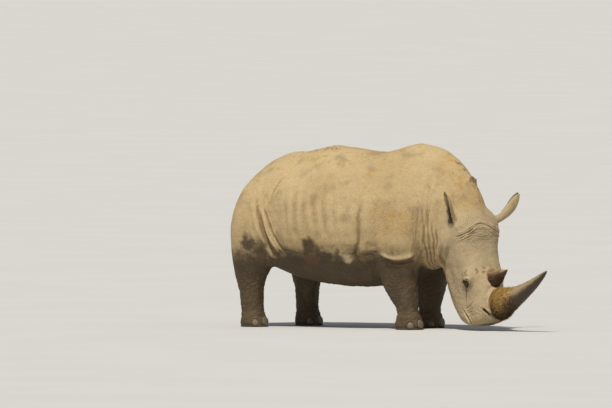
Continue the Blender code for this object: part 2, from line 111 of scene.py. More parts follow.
def hump(value, middle, width):
    return np.exp(-(((value - middle) / width) ** 2))


def unit(vectors):
    """One vector, or each row of them, at length 1."""
    if vectors.ndim == 1:
        return vectors / np.linalg.norm(vectors)
    return vectors / np.linalg.norm(vectors, axis=1)[:, None]


def flowing(rows, steps=6):
    """Rows of numbers run through smoothly (Catmull-Rom), with `steps` rows for each span."""
    rows = np.array(rows, float)
    ends = np.vstack([2 * rows[0] - rows[1], rows, 2 * rows[-1] - rows[-2]])
    out = []
    for index in range(len(rows) - 1):
        before, start, stop, after = ends[index : index + 4]
        for t in np.arange(steps) / steps:
            out.append(
                0.5
                * (
                    2 * start
                    + (stop - before) * t
                    + (2 * before - 5 * start + 4 * stop - after) * t**2
                    + (3 * start - before - 3 * stop + after) * t**3
                )
            )
    return np.array(out + [rows[-1]])


def noise(points, size, seed):
    """Smooth noise from about -1 to 1, whose lumps are about `size` across."""
    rng = np.random.default_rng(seed)
    table = np.tile(rng.permutation(256), 2)
    slopes = rng.normal(size=(3, 256))
    slopes = (slopes / np.linalg.norm(slopes, axis=0)).astype(np.float32)
    place = (np.asarray(points).T / size + rng.uniform(0, 50, (3, 1))).astype(np.float32)
    cell = np.floor(place).astype(np.int32)
    x, y, z = place - cell
    i, j, k = cell & 255
    ease = [t * t * t * (t * (t * 6 - 15) + 10) for t in (x, y, z)]
    total = np.zeros(len(x), np.float32)
    for a, b, c in itertools.product((0, 1), repeat=3):
        key = table[table[table[i + a] + j + b] + k + c]
        weight = np.abs(ease[0] - (1 - a)) * np.abs(ease[1] - (1 - b)) * np.abs(ease[2] - (1 - c))
        slope = slopes[0, key] * (x - a) + slopes[1, key] * (y - b) + slopes[2, key] * (z - c)
        total += weight * slope
    return total * 1.7


def rough_noise(points, size, seed, octaves=3):
    return sum(noise(points, size / 2**i, seed + i) / 2**i for i in range(octaves))


def shaken(points, amount, size, seed):
    """Points shifted about by noise, so that what is read there winds."""
    return points + amount * np.stack([noise(points, size, seed + i) for i in range(3)], axis=1)


def creases_of(points, size, seed, sharpness=0.16):
    """Thin winding valleys, 1 at the bottom: where a smooth noise passes through zero."""
    return np.exp(-((noise(points, size, seed) / sharpness) ** 2))


# Meshes.


def read(items, field, width=3, kind=float):
    """One field of every item, in rows of the given width."""
    values = np.empty(width * len(items), kind)
    items.foreach_get(field, values)
    return values.reshape(-1, width)


def points_of(mesh):
    return read(mesh.vertices, "co")


def set_points(mesh, points):
    mesh.vertices.foreach_set("co", np.ascontiguousarray(points, float).ravel())
    mesh.update()


def normals_of(mesh):
    return read(mesh.vertex_normals, "vector")


def edges_of(mesh):
    return read(mesh.edges, "vertices", 2, int)


def face_centres(mesh):
    return read(mesh.polygons, "center")


def add_object(name, mesh):
    obj = bpy.data.objects.new(name, mesh)
    bpy.context.scene.collection.objects.link(obj)
    return obj


def mesh_of(name, points, faces):
    mesh = bpy.data.meshes.new(name)
    mesh.from_pydata(np.asarray(points).tolist(), [], [list(face) for face in faces])
    mesh.update()
    return mesh


def face_outward(mesh):
    shape = bmesh.new()
    shape.from_mesh(mesh)
    bmesh.ops.recalc_face_normals(shape, faces=shape.faces)
    shape.to_mesh(mesh)
    shape.free()


def joined(name, meshes):
    shape = bmesh.new()
    for mesh in meshes:
        shape.from_mesh(mesh)
    mesh = bpy.data.meshes.new(name)
    shape.to_mesh(mesh)
    shape.free()
    return mesh


def add_unwrap(mesh, flat):
    layer = mesh.uv_layers.new(name="OFBake", do_init=False)
    layer.uv.foreach_set("vector", flat.astype(np.float32).ravel())


def lofted(name, rings):
    """A closed mesh through rings of equal length, its two ends filled."""
    rings = np.asarray(rings)
    count, around = rings.shape[:2]
    faces = []
    for row in range(count - 1):
        for index in range(around):
            after = (index + 1) % around
            first, second = row * around, (row + 1) * around
            faces.append((first + index, first + after, second + after, second + index))
    faces.append(range(around - 1, -1, -1))
    faces.append(range((count - 1) * around, count * around))
    mesh = mesh_of(name, rings.reshape(-1, 3), faces)
    face_outward(mesh)
    return mesh


def solid_copy(name, nodes):
    """The named solids in one mesh, in the body's frame."""
    shape = bmesh.new()
    for node in nodes:
        shape.from_mesh(NODES[node].data)
    bmesh.ops.remove_doubles(shape, verts=shape.verts, dist=1e-5)
    bmesh.ops.translate(shape, verts=shape.verts, vec=Vector(-BODY_ORIGIN))
    mesh = bpy.data.meshes.new(name)
    shape.to_mesh(mesh)
    shape.free()
    return mesh


def with_modifiers(name, mesh, *modifiers):
    """The mesh after the modifiers, each given as its kind and its settings."""
    obj = add_object(name, mesh)
    for kind, settings in modifiers:
        modifier = obj.modifiers.new(kind.lower(), kind)
        for setting, value in settings.items():
            setattr(modifier, setting, value)
    graph = bpy.context.evaluated_depsgraph_get()
    made = bpy.data.meshes.new_from_object(obj.evaluated_get(graph))
    bpy.data.objects.remove(obj)
    return made


def fused(name, mesh, voxel):
    return with_modifiers(name, mesh, ("REMESH", {"mode": "VOXEL", "voxel_size": voxel}))


def relaxed(points, edges, share, passes):
    """Moves each point towards the middle of its neighbours, by its share of the way."""
    one, other = edges.T
    count = np.bincount(edges.ravel(), minlength=len(points))
    share = share / np.maximum(count, 1)
    for _ in range(passes):
        total = np.stack(
            [
                np.bincount(one, points[other, axis], len(points))
                + np.bincount(other, points[one, axis], len(points))
                for axis in range(3)
            ],
            axis=1,
        )
        points = points + share[:, None] * (total - count[:, None] * points)
    return points


def smoothed(points, edges, rounds):
    """Takes out small unevenness and keeps the volume (Taubin)."""
    for _ in range(rounds):
        points = relaxed(points, edges, 0.5, 1)
        points = relaxed(points, edges, -0.54, 1)
    return points


def refined(mesh, wanted):
    """Splits the wanted faces in four."""
    shape = bmesh.new()
    shape.from_mesh(mesh)
    shape.faces.ensure_lookup_table()
    edges = {edge for index in np.flatnonzero(wanted) for edge in shape.faces[index].edges}
    bmesh.ops.subdivide_edges(shape, edges=list(edges), cuts=1, use_grid_fill=True)
    shape.to_mesh(mesh)
    shape.free()


def colour_layer(mesh, name, columns):
    """Stores up to four values for each vertex as a colour."""
    values = np.ones((len(mesh.vertices), 4))
    for index, column in enumerate(columns):
        values[:, index] = column
    layer = mesh.color_attributes.new(name, "FLOAT_COLOR", "POINT")
    layer.data.foreach_set("color", values.ravel())


# The skin's first shape.


def ear_rings(side_name):
    """Rings of the ear: a rolled tube at its foot, that opens into a pointed cup."""
    # Share of the length: half width, depth behind, and the inner face from full (-1) to hollow.
    stations = (
        (0.00, 0.046, 0.050, -1.00),
        (0.14, 0.042, 0.048, -0.70),
        (0.26, 0.044, 0.048, 0.15),
        (0.38, 0.050, 0.048, 0.50),
        (0.54, 0.060, 0.047, 0.68),
        (0.70, 0.066, 0.041, 0.66),
        (0.84, 0.055, 0.030, 0.50),
        (0.94, 0.031, 0.017, 0.10),
        (1.00, 0.008, 0.006, -0.50),
    )
    if side_name == "right":
        base = on_head(0.10, -0.14, -0.235)
        axis = UP - HEAD_LEFT * 0.58 + HEADING * 0.06
        opening = -HEAD_LEFT * 0.95 - HEADING * 0.4
        curve = HEADING * 0.042 + HEAD_LEFT * 0.023
    else:
        base = on_head(0.07, -0.12, 0.23)
        axis = UP * 0.11 + HEAD_LEFT * 0.343 + HEADING * 0.086
        opening = HEAD_LEFT * 0.16 - HEADING * 0.82 + UP * 0.55
        curve = UP * 0.15 - HEAD_LEFT * 0.025 - HEADING * 0.047
    whole = axis / np.linalg.norm(axis) * EAR_LENGTH
    wall, steps = 0.008, 20
    rings, frames = [], []
    for share, width, depth, hollow in flowing(stations):
        centre = base + whole * share + curve * share**2
        tangent = whole + 2 * curve * share
        across = unit(np.cross(tangent, opening))
        forward = unit(np.cross(across, tangent))
        ring = []
        for index in range(2 * steps - 2):
            outside = index < steps
            angle = math.pi * (min(index, 2 * steps - 2 - index) / (steps - 1) - 0.5)
            reach = width if outside else max(width - wall, width * 0.4)
            sunk = depth if outside else depth * hollow
            ring.append(centre + across * reach * math.sin(angle) - forward * sunk * math.cos(angle))
        rings.append(ring)
        frames.append((share, centre, across, forward, unit(tangent), width))
    return np.array(rings), frames


def pocket_points(points, node, reach):
    """Which points lie within reach of the named solid."""
    solid = solid_copy(node, [node])
    corners = points_of(solid)
    tree = BVHTree.FromPolygons(corners.tolist(), [list(face.vertices) for face in solid.polygons])
    low, high = corners.min(axis=0) - reach, corners.max(axis=0) + reach
    inside = np.all((points > low) & (points < high), axis=1)
    for index in np.flatnonzero(inside):
        inside[index] = tree.find_nearest(Vector(points[index]), reach)[0] is not None
    return inside


def base_form():
    """The flesh without its ears: fused, with the pockets of horns, eyes and nails closed over."""
    mesh = fused("base", solid_copy("base", FLESH), BASE_VOXEL)
    points, edges = points_of(mesh), edges_of(mesh)
    loose = np.zeros(len(points), bool)
    for node in HORNS + EYES + NAILS:
        loose |= pocket_points(points, node, 0.6 * BASE_VOXEL)
    points = relaxed(points, edges[loose[edges].any(axis=1)], 0.9 * loose, POCKET_PASSES)
    points = smoothed(points, edges, BASE_ROUNDS)
    set_points(mesh, points)
    return with_modifiers("base", mesh, ("SUBSURF", {"levels": 1}))


def eye_axis(side):
    """The way an eye faces: out to the side and a little forward."""
    return HEAD_LEFT * side * 0.83 + RISE * 0.558


def eye_centre(side_name):
    low, high = (np.array(corner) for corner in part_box("eye_" + side_name))
    return (low + high) / 2 - BODY_ORIGIN


def nostril_centre(side):
    return on_head(0.965, 0.068, side * 0.135)


def skin_form():
    """The whole skin as one closed, smooth mesh, finest on the head and round eyes and nostrils."""
    ears = [lofted("ear", ear_rings(side_name)[0]) for side_name in SIDES]
    mesh = fused("skin", joined("skin", [base_form()] + ears), SKIN_VOXEL)
    set_points(mesh, smoothed(points_of(mesh), edges_of(mesh), SKIN_ROUNDS))

    centres = face_centres(mesh)
    along, _, _ = head_place(centres)
    refined(mesh, (centres[:, 0] > 1.10) & (along > -0.24))
    for reach in (0.085, 0.055):
        centres = face_centres(mesh)
        close = np.zeros(len(centres), bool)
        for side_name, side in SIDES.items():
            close |= np.linalg.norm(centres - eye_centre(side_name), axis=1) < reach
            close |= np.linalg.norm(centres - nostril_centre(side), axis=1) < reach
        refined(mesh, close)
    points = smoothed(points_of(mesh), edges_of(mesh), FINE_ROUNDS)
    points[points[:, 2] < SOLE_DEPTH, 2] = 0.0
    set_points(mesh, points)
    return mesh


# Folds.


def near_line(points, line, reach):
    """Each point's distance from a smooth line, and how far along it (0 to 1) its nearest place is."""
    line = flowing(line, 5)
    gap = np.full(len(points), np.inf)
    share = np.zeros(len(points))
    low, high = line.min(axis=0) - reach, line.max(axis=0) + reach
    near = np.flatnonzero(np.all((points > low) & (points < high), axis=1))
    close = points[near]
    for index, (start, stop) in enumerate(zip(line, line[1:])):
        run = stop - start
        t = np.clip((close - start) @ run / (run @ run), 0, 1)
        apart = np.linalg.norm(close - (start + t[:, None] * run), axis=1)
        better = apart < gap[near]
        gap[near[better]] = apart[better]
        share[near[better]] = (index + t[better]) / (len(line) - 1)
    return gap, share


def groove(points, line, depth, width, fade=(0.2, 0.2)):
    """How far a fold's valley and the swellings beside it move the skin."""
    gap, share = near_line(points, line, 6 * width)
    ends = eased(share, 0, fade[0]) * eased(share, 1, 1 - fade[1])
    valley = -np.exp(-((gap / width) ** 2)) + 0.35 * hump(gap, 2.1 * width, width)
    return depth * ends * np.where(np.isfinite(gap), valley, 0)


def ridge(points, line, height, width, fade=(0.25, 0.25)):
    gap, share = near_line(points, line, 4 * width)
    ends = eased(share, 0, fade[0]) * eased(share, 1, 1 - fade[1])
    return height * ends * np.where(np.isfinite(gap), np.exp(-((gap / width) ** 2)), 0)


def on_near_side(points):
    """Both flanks take the same folds, so the far side is read as the near one."""
    return points * (1, -1, 1) * np.where(points[:, 1] > 0, 1, 0)[:, None] + points * np.where(
        points[:, 1] > 0, 0, 1
    )[:, None]


# Lines of the body's folds, on its right side.
BEHIND_SHOULDER = (
    (0.39, -0.43, 1.37), (0.41, -0.51, 1.18), (0.41, -0.54, 1.02), (0.40, -0.53, 0.85),
    (0.36, -0.49, 0.68), (0.37, -0.40, 0.52),
)
THIGH_GROOVE = (
    (-0.76, -0.44, 1.32), (-0.71, -0.50, 1.10), (-0.66, -0.51, 0.95), (-0.60, -0.48, 0.79),
    (-0.53, -0.43, 0.66),
)
FLANK_ROPE = ((-0.69, -0.49, 1.15), (-0.62, -0.51, 0.96), (-0.55, -0.49, 0.81), (-0.47, -0.46, 0.70))
FLANK_LINE = ((-0.66, -0.49, 1.16), (-0.57, -0.51, 0.98), (-0.50, -0.50, 0.83), (-0.42, -0.47, 0.70))
HIP_LINE = ((-0.40, -0.35, 1.48), (-0.51, -0.41, 1.40), (-0.57, -0.45, 1.29), (-0.59, -0.49, 1.16))
FLAP_EDGE = (
    (0.60, -0.48, 0.735), (0.68, -0.48, 0.70), (0.77, -0.47, 0.68), (0.87, -0.44, 0.685),
    (0.95, -0.34, 0.72),
)
FLAP_UNDER = (
    (0.62, -0.48, 0.70), (0.70, -0.48, 0.665), (0.79, -0.47, 0.648), (0.88, -0.43, 0.655),
    (0.94, -0.34, 0.69),
)
JAW_EDGE = ((1.24, -0.38, 0.96), (1.21, -0.36, 0.81), (1.17, -0.28, 0.67), (1.17, -0.18, 0.60))


PLEAT_SPACING = 0.047
RIB_SPACING = 0.112


def neck_pleats(points):
    """Upright pleats behind the cheek, deepest low on the neck."""
    x, _, z = points.T
    bend = points * (1, 1, 0.35)
    lean = x + 0.05 * eased(z, 0.90, 0.60) + 0.020 * noise(bend, 0.16, 17) + 0.008 * noise(bend, 0.06, 18)
    phase = (lean / PLEAT_SPACING) % 1.0 - 0.5
    valley = 0.35 - np.exp(-((phase / 0.17) ** 2)) + 0.25 * np.cos(2 * math.pi * (phase - 0.5))
    where = eased(lean, 0.94, 1.02) * eased(lean, 1.22, 1.16)
    where = where * eased(z, 1.30, 0.98) * eased(z, 0.46, 0.54)
    depth = (0.0032 + 0.0080 * eased(z, 1.00, 0.78)) * (0.8 + 0.5 * noise(bend, 0.12, 19))
    return valley * where * depth


def body_folds(points):
    """The long folds of trunk, neck and legs."""
    side = on_near_side(points)
    side = shaken(side, 0.010, 0.13, 14)
    move = groove(side, BEHIND_SHOULDER, 0.019, 0.036, (0.45, 0.15))
    move += groove(side, BEHIND_SHOULDER[2:], 0.014, 0.015, (0.6, 0.3))
    move += groove(side, THIGH_GROOVE, 0.034, 0.022, (0.55, 0.1))
    move += ridge(side, FLANK_ROPE, 0.013, 0.026)
    move += groove(side, FLANK_LINE, 0.011, 0.011)
    move += groove(side, HIP_LINE, 0.0055, 0.016, (0.4, 0.4))
    move += ridge(side, FLAP_EDGE, 0.022, 0.032)
    move += groove(side, FLAP_UNDER, 0.030, 0.017)
    move += neck_pleats(side)
    move += groove(side, JAW_EDGE, 0.022, 0.020)
    return move


def ribs(points, normals):
    """Faint ribs through the skin of the flank."""
    x, _, z = points.T
    lean = x + 0.16 * (z - 1.05) + 0.012 * noise(points, 0.30, 3)
    wave = np.cos(2 * math.pi * (lean + 0.115) / RIB_SPACING)
    wave = 0.5 * wave + 0.5 * np.abs(0.5 + 0.5 * wave) ** 2
    where = hump(z, 1.08, 0.19) * eased(lean, -0.46, -0.34) * eased(lean, 0.30, 0.16)
    where *= eased(np.abs(normals[:, 1]), 0.4, 0.8)
    strength = 0.85 + 0.3 * noise(points, 0.30, 5)
    return 0.0095 * wave * where * strength


def stretched(points, along_axis, ratio):
    """Points squeezed along an axis, so that noise read there is drawn out that way."""
    axis = unit(np.asarray(along_axis, float))
    return points - np.outer(points @ axis, axis) * (1 - 1 / ratio)


def hide_wrinkles(points, normals):
    """Wrinkles of the hide: upright on neck and shoulder, level on the legs, netted elsewhere."""
    x, _, z = points.T
    along, _, _ = head_place(points)
    wavy = shaken(points, 0.03, 0.2, 11)
    head = eased(x, 1.12, 1.22) * eased(along, -0.16, -0.02)
    neck = eased(x, 0.84, 1.02) * (1 - head)
    leg = eased(z, 0.60, 0.40) * (1 - head)
    knee = leg * np.maximum(hump(z, 0.40, 0.09), hump(z, 0.17, 0.06))
    belly = eased(normals[:, 2], -0.2, -0.7) * (1 - leg) * (1 - head)
    trunk = (1 - neck) * (1 - leg) * (1 - head)

    low_neck = neck * eased(z, 1.42, 1.10)
    upright = creases_of(stretched(wavy, UP, 7), 0.070, 21, 0.24)
    fine_upright = creases_of(stretched(wavy, UP, 5), 0.030, 22, 0.22)
    level = creases_of(stretched(wavy, (0.5, 0.6, 0.45), 4), 0.050, 23, 0.26)
    level = np.maximum(level, 0.8 * creases_of(stretched(wavy, (1, 0.3, 0.2), 3), 0.038, 24, 0.24))
    net = creases_of(wavy, 0.060, 25, 0.20)
    fine_net = creases_of(wavy, 0.026, 26, 0.20)

    move = -0.0042 * low_neck * upright - 0.0020 * low_neck * fine_upright
    move -= 0.0010 * (neck - low_neck) * fine_net
    move -= (0.0003 * trunk + 0.0016 * belly) * net
    move -= 0.0006 * trunk * upright * eased(x, 0.45, 0.7)
    move -= (0.0006 * trunk + 0.0008 * leg) * fine_net
    move -= (0.0030 * leg + 0.0032 * knee) * level
    pleated = blob(on_near_side(points), (0.64, -0.45, 0.60), (0.09, 0.12, 0.09), 28, 0.2)
    move -= 0.0040 * pleated * creases_of(stretched(wavy, (0.5, 0, 1), 4), 0.026, 29, 0.3)
    dents = hump(x, -0.83, 0.09) * hump(z, 0.84, 0.10) + hump(x, -0.70, 0.08) * hump(z, 0.74, 0.08)
    move -= 0.016 * dents * eased(np.abs(normals[:, 1]), 0.3, 0.8)
    flank_creases = creases_of(stretched(wavy, (0.25, 0, 1), 5), 0.07, 27, 0.26)
    move -= 0.0020 * flank_creases * hump(x, -0.62, 0.20) * hump(z, 0.92, 0.28)
    return move


NAPE_KNOB = (1.345, 0.0, 1.415)


def lumps(points):
    """Unevenness under the skin, and the knob of callus at the nape."""
    x, y, z = points.T
    crumbs = np.clip(noise(points, 0.045, 33) + 0.4 * noise(points, 0.02, 34), 0, 1.2)
    crumbs *= eased(np.abs(y), 0.12, 0.05) * eased(z, 1.635, 1.665) * eased(x, 0.15, 0.0)
    gap = np.linalg.norm((points - NAPE_KNOB) / (1.0, 1.8, 1.0), axis=1)
    knob = 0.020 * eased(gap, 0.075, 0.015) * (1 + 0.6 * noise(points, 0.025, 35))
    return knob + 0.009 * crumbs + 0.0045 * noise(points, 0.20, 31) + 0.0012 * noise(points, 0.075, 32)


# Head.

BROW = (
    (0.215, -0.12, -0.262), (0.20, -0.05, -0.235), (0.165, 0.00, -0.17), (0.115, 0.02, -0.09),
    (0.115, 0.02, 0.01), (0.15, 0.02, 0.10), (0.19, -0.03, 0.21), (0.21, -0.12, 0.26),
)
MOUTH = (
    (0.87, -0.235, -0.172), (0.95, -0.185, -0.170), (1.01, -0.150, -0.152), (1.05, -0.135, -0.10),
    (1.062, -0.130, 0.0), (1.05, -0.135, 0.10), (1.01, -0.150, 0.152), (0.95, -0.185, 0.170),
    (0.87, -0.235, 0.172),
)


def brow_folds(place):
    """A family of pleats across the forehead from ear to ear, which run on below the ears."""
    line = np.array(BROW)
    move = ridge(place, line + np.array((-0.010, 0, 0)), 0.011, 0.020, (0.15, 0.15))
    move += ridge(place, line + np.array((0.038, 0, 0)), 0.008, 0.018, (0.2, 0.2))
    for index in range(6):
        shift = 0.016 * index - 0.020
        wander = 0.006 * np.sin(np.arange(len(line)) * 1.9 + index * 2.1)
        bent = line + np.stack([shift + wander, 0 * wander, 0 * wander], axis=1)
        depth = (0.0028, 0.0045, 0.0075, 0.0050, 0.0065, 0.0030)[index]
        move += groove(place, bent, depth, 0.0050, (0.12, 0.12))
    return move


def ear_root_wrinkles(place, side):
    """Rings of wrinkles round the foot of an ear, on the side of the forehead."""
    foot = np.array((0.075, -0.085, side * 0.235))
    apart = place - foot
    gap = np.linalg.norm(apart * (1.0, 1.0, 0.8), axis=1)
    gap = gap + 0.012 * noise(place, 0.055, 41) + 0.004 * noise(place, 0.02, 43)
    rings = -np.maximum(np.cos(2 * math.pi * gap / 0.0155), -0.2)
    where = eased(gap, 0.060, 0.078) * eased(gap, 0.190, 0.130) * eased(apart[:, 1], -0.05, 0.02)
    return 0.0030 * rings * where * np.clip(0.7 + 0.9 * noise(place, 0.040, 42), 0, 1.4)


def face_wrinkles(points, place):
    along, rise, _ = place.T
    head = eased(points[:, 0], 1.12, 1.22) * eased(along, -0.16, -0.02)
    muzzle = eased(along, 0.80, 0.92)
    cheek = hump(along, 0.62, 0.22) * hump(rise, -0.30, 0.16)
    wavy = shaken(place, 0.012, 0.08, 51)
    level = creases_of(stretched(wavy, (0.1, 1, 0.6), 3.2), 0.030, 54)
    lip = creases_of(stretched(wavy, (1, -0.25, 0), 3.2), 0.018, 55)
    net = creases_of(wavy, 0.030, 56, 0.13)
    fine = creases_of(wavy, 0.013, 57, 0.16)
    brow_skin = creases_of(stretched(wavy, (0, 0, 1), 4), 0.022, 58) * hump(along, 0.20, 0.16)
    move = -head * (0.0010 * net + 0.0007 * fine + 0.0014 * level * cheek)
    move -= 0.0030 * brow_skin * head * eased(rise, -0.10, 0.0)
    move -= muzzle * (0.0038 * lip * eased(rise, 0.10, 0.0) + 0.0012 * net)
    throat = eased(rise, -0.30, -0.42) * hump(along, 0.25, 0.25)
    move -= 0.004 * head * throat * creases_of(stretched(wavy, (0, 1, 0.5), 3), 0.035, 59)
    return move + 0.0018 * head * noise(place, 0.045, 60)


def sideways_flat(line):
    """Face lines are matched mostly as seen from the side, so that they need not lie on the skin."""
    return np.asarray(line) * (1, 1, 0.3)


def bones_of_face(place):
    """Swellings of brow, cheek bone, nose and lips."""
    along, rise, left = place.T
    side = np.abs(left)
    move = 0.010 * hump(along, 0.61, 0.055) * hump(rise, -0.035, 0.05) * eased(side, 0.12, 0.19)
    move -= 0.007 * hump(along, 0.52, 0.06) * hump(rise, -0.13, 0.06) * eased(side, 0.12, 0.19)
    move -= 0.008 * hump(along, 0.80, 0.05) * hump(rise, -0.10, 0.12) * eased(side, 0.10, 0.16)
    move += 0.008 * hump(along, 0.93, 0.07) * hump(rise, -0.02, 0.07) * eased(side, 0.09, 0.15)
    move += 0.007 * hump(along, 1.02, 0.04) * hump(rise, -0.07, 0.06)
    move -= 0.006 * hump(along, 0.75, 0.05) * hump(rise, 0.10, 0.04)
    return move


def horn_collar(place, along, rise, half_length, half_width):
    """The skin's rim round a horn."""
    a = (place[:, 0] - along) / half_length
    b = place[:, 2] / half_width
    gap = (np.hypot(a, b) - 1) * half_width
    front = eased(place[:, 1], rise - 0.16, rise - 0.06)
    collar = 0.009 * hump(gap, 0.010, 0.012) - 0.005 * hump(gap, 0.036, 0.012)
    return front * collar * (1 + 0.35 * noise(place, 0.03, 61))


def nostril_line(side):
    """The slit runs from the side of the nose round its front, under the horn."""
    return (
        (0.925, 0.040, side * 0.152), (0.955, 0.062, side * 0.146), (0.985, 0.078, side * 0.124),
        (1.005, 0.074, side * 0.092),
    )


def nostril(place, side):
    """A long slit with a swollen rim, deepest near its outer end."""
    gap, share = near_line(sideways_flat(place), sideways_flat(nostril_line(side)), 0.06)
    width = 0.0115 * (0.35 + 0.65 * hump(share, 0.35, 0.45))
    pit = -0.034 * eased(gap / width, 1.25, 0.2) * eased(share, 1.0, 0.7) * eased(share, 0.0, 0.15)
    rim = 0.0065 * hump(gap, 0.019, 0.0065) + 0.002 * hump(gap, 0.036, 0.007)
    return np.where(np.isfinite(gap), pit + rim, 0)


def head_shape(points):
    place = np.stack(head_place(points), axis=1)
    body_side = eased(points[:, 0], 1.10, 1.18) * eased(place[:, 0], -0.20, -0.08)
    move = bones_of_face(place)
    move += brow_folds(place)
    move += groove(place, MOUTH, 0.020, 0.010, (0.12, 0.12))
    for side in SIDES.values():
        move += ear_root_wrinkles(place, side)
        move += nostril(place, side)
        tear_and_shade = ((0.715, -0.11, side * 0.20), (0.80, -0.145, side * 0.185), (0.92, -0.155, side * 0.17))
        move += groove(sideways_flat(place), sideways_flat(tear_and_shade), 0.0040, 0.0055)
        for line in (
            ((0.60, -0.16, side * 0.21), (0.68, -0.19, side * 0.20), (0.76, -0.17, side * 0.19)),
            ((0.83, -0.05, side * 0.18), (0.88, -0.11, side * 0.17), (0.90, -0.20, side * 0.17)),
            ((0.87, -0.02, side * 0.18), (0.925, -0.08, side * 0.175), (0.95, -0.14, side * 0.17)),
        ):
            move += groove(sideways_flat(place), sideways_flat(line), 0.0045, 0.0070)
    move += horn_collar(place, *FRONT_HORN_FOOT, 0.142, 0.106)
    move += 0.45 * horn_collar(place, *REAR_HORN_FOOT, 0.088, 0.070)
    return body_side * move + face_wrinkles(points, place)


def lid_wander(points):
    """How far the rings of wrinkles round an eye wander from true circles."""
    return 0.0065 * noise(points, 0.050, 44) + 0.0022 * noise(points, 0.018, 45)


LID_THICKNESS = 0.0030
EYE_SLANT = math.radians(14)
OPENING_HALF_LONG = 0.0218
OPENING_HALF_HIGH = 0.0150


def lid_shape(points, side_name):
    """Lids over the eyeball, with an almond opening and rings of wrinkles."""
    side = SIDES[side_name]
    apart = points - eye_centre(side_name)
    tilt = EYE_SLANT * side
    outward = eye_axis(side)
    level = unit(RISE - outward * (RISE @ outward))
    slit = ALONG * math.cos(tilt) + level * math.sin(tilt) * side
    brow_way = np.cross(slit, outward)
    brow_way = brow_way * np.sign(brow_way @ RISE)
    u, v, w = apart @ slit, apart @ brow_way, apart @ outward
    reach = np.hypot(u, v)
    near = (reach < 0.100) & (w > -0.03) & (w < 0.08)
    ball = np.sqrt(np.maximum((EYE_RADIUS + LID_THICKNESS) ** 2 - reach**2, 1e-9))
    # The opening is an almond: two arcs that meet at its corners.
    edge = np.where(v > 0, OPENING_HALF_HIGH, 0.8 * OPENING_HALF_HIGH)
    edge = edge * np.clip(1 - (u / OPENING_HALF_LONG) ** 2, 0, 1)
    inside = eased(np.abs(v) - edge, 0.0012, -0.0012) * (np.abs(u) < OPENING_HALF_LONG)
    margin = hump(np.abs(v) - edge, 0.0028, 0.0022) * eased(np.abs(u), 0.025, 0.019)
    lid = ball + 0.0026 * margin
    lid = lid * (1 - inside) + (ball - 0.014) * inside
    blend = eased(reach, 0.0195, 0.036)
    upper = 0.0120 * hump(np.hypot(u + 0.018, v - 0.010), 0.036, 0.013) * eased(v - u, -0.010, 0.024)
    lower = 0.0050 * hump(reach, 0.031, 0.009) * eased(v, 0.008, -0.010)
    surface = w + upper + lower
    target = np.minimum(lid, np.maximum(surface, 0) + 0.05) * (1 - blend) + surface * blend
    reach = reach + lid_wander(points)
    rings = -0.0050 * hump(reach, 0.0300, 0.0030) - 0.0060 * hump(reach, 0.0450, 0.0034)
    rings -= 0.0056 * hump(reach, 0.0575, 0.0036) * eased(v, 0.015, -0.015)
    rings -= 0.0044 * hump(reach, 0.0710, 0.0038) * eased(v, 0.010, -0.015)
    target = target + rings * (1 - inside)
    return np.where(near, target - w, 0)[:, None] * outward


# A move inwards, or a pinch between its neighbours, that makes a point count as wholly hollow.
HOLLOW_MOVE = 0.012
HOLLOW_PINCH = 0.0020


def fold_skin(mesh):
    """All the skin's moves, largest first, and how deep each point lies in its folds."""
    points, edges = points_of(mesh), edges_of(mesh)
    start, normals = points.copy(), normals_of(mesh)
    ears = ear_share(points)
    calm = (1 - 0.85 * ears) * eased(points[:, 2], 0.02, 0.10)
    move = lumps(points) + ribs(points, normals) + body_folds(points)
    points = points + normals * (move * calm)[:, None]
    set_points(mesh, points)
    normals = normals_of(mesh)
    fine = head_shape(start) * (1 - ears) + hide_wrinkles(start, normals) * calm
    fine += ear_veins(start, ears)
    fine += foot_wrinkles(start) + cuticles(start)
    points = points + normals * fine[:, None]
    for side_name in SIDES:
        points = points + lid_shape(points, side_name)
    points = tail_shape(points)
    sole = start[:, 2] < SOLE_DEPTH / 2
    points[sole, 2] = 0.0
    points[:, 2] = np.maximum(points[:, 2], 0.0)
    set_points(mesh, points)
    hollow = np.clip(-(move + fine) / HOLLOW_MOVE, 0, 1)
    broad = relaxed(points, edges, 0.7, 8)
    pinch = ((broad - points) * normals_of(mesh)).sum(axis=1)
    hollow = np.clip(0.22 * hollow + pinch / HOLLOW_PINCH, -0.6, 1)
    return start, hollow


EAR_FOOT = 0.22


def ear_share(points):
    """1 on the ears, fading to 0 at their feet."""
    shares = np.zeros(len(points))
    for side_name in SIDES:
        for share, centre, *_ in ear_rings(side_name)[1][::3]:
            if share > EAR_FOOT:
                gap = np.linalg.norm(points - centre, axis=1)
                weight = min(1.0, (share - EAR_FOOT) / 0.15)
                shares = np.maximum(shares, weight * eased(gap, 0.085, 0.066))
    return shares


def ear_veins(points, ears):
    veins = creases_of(stretched(points, UP - HEAD_LEFT * 0.3, 4), 0.022, 71)
    return -0.0010 * veins * ears


def cuticles(points):
    """The skin swells round the top of each nail."""
    move = np.zeros(len(points))
    low = np.flatnonzero(points[:, 2] < 0.16)
    for nail in NAILS:
        start, stop = (np.array(corner) - BODY_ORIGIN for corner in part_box(nail))
        apart = (points[low] - (start + stop) / 2) / ((stop - start) / 2)
        reach = np.linalg.norm(apart, axis=1)
        move[low] += 0.0055 * hump(reach, 1.28, 0.16) * eased(apart[:, 2], -0.6, 0.3)
    return move


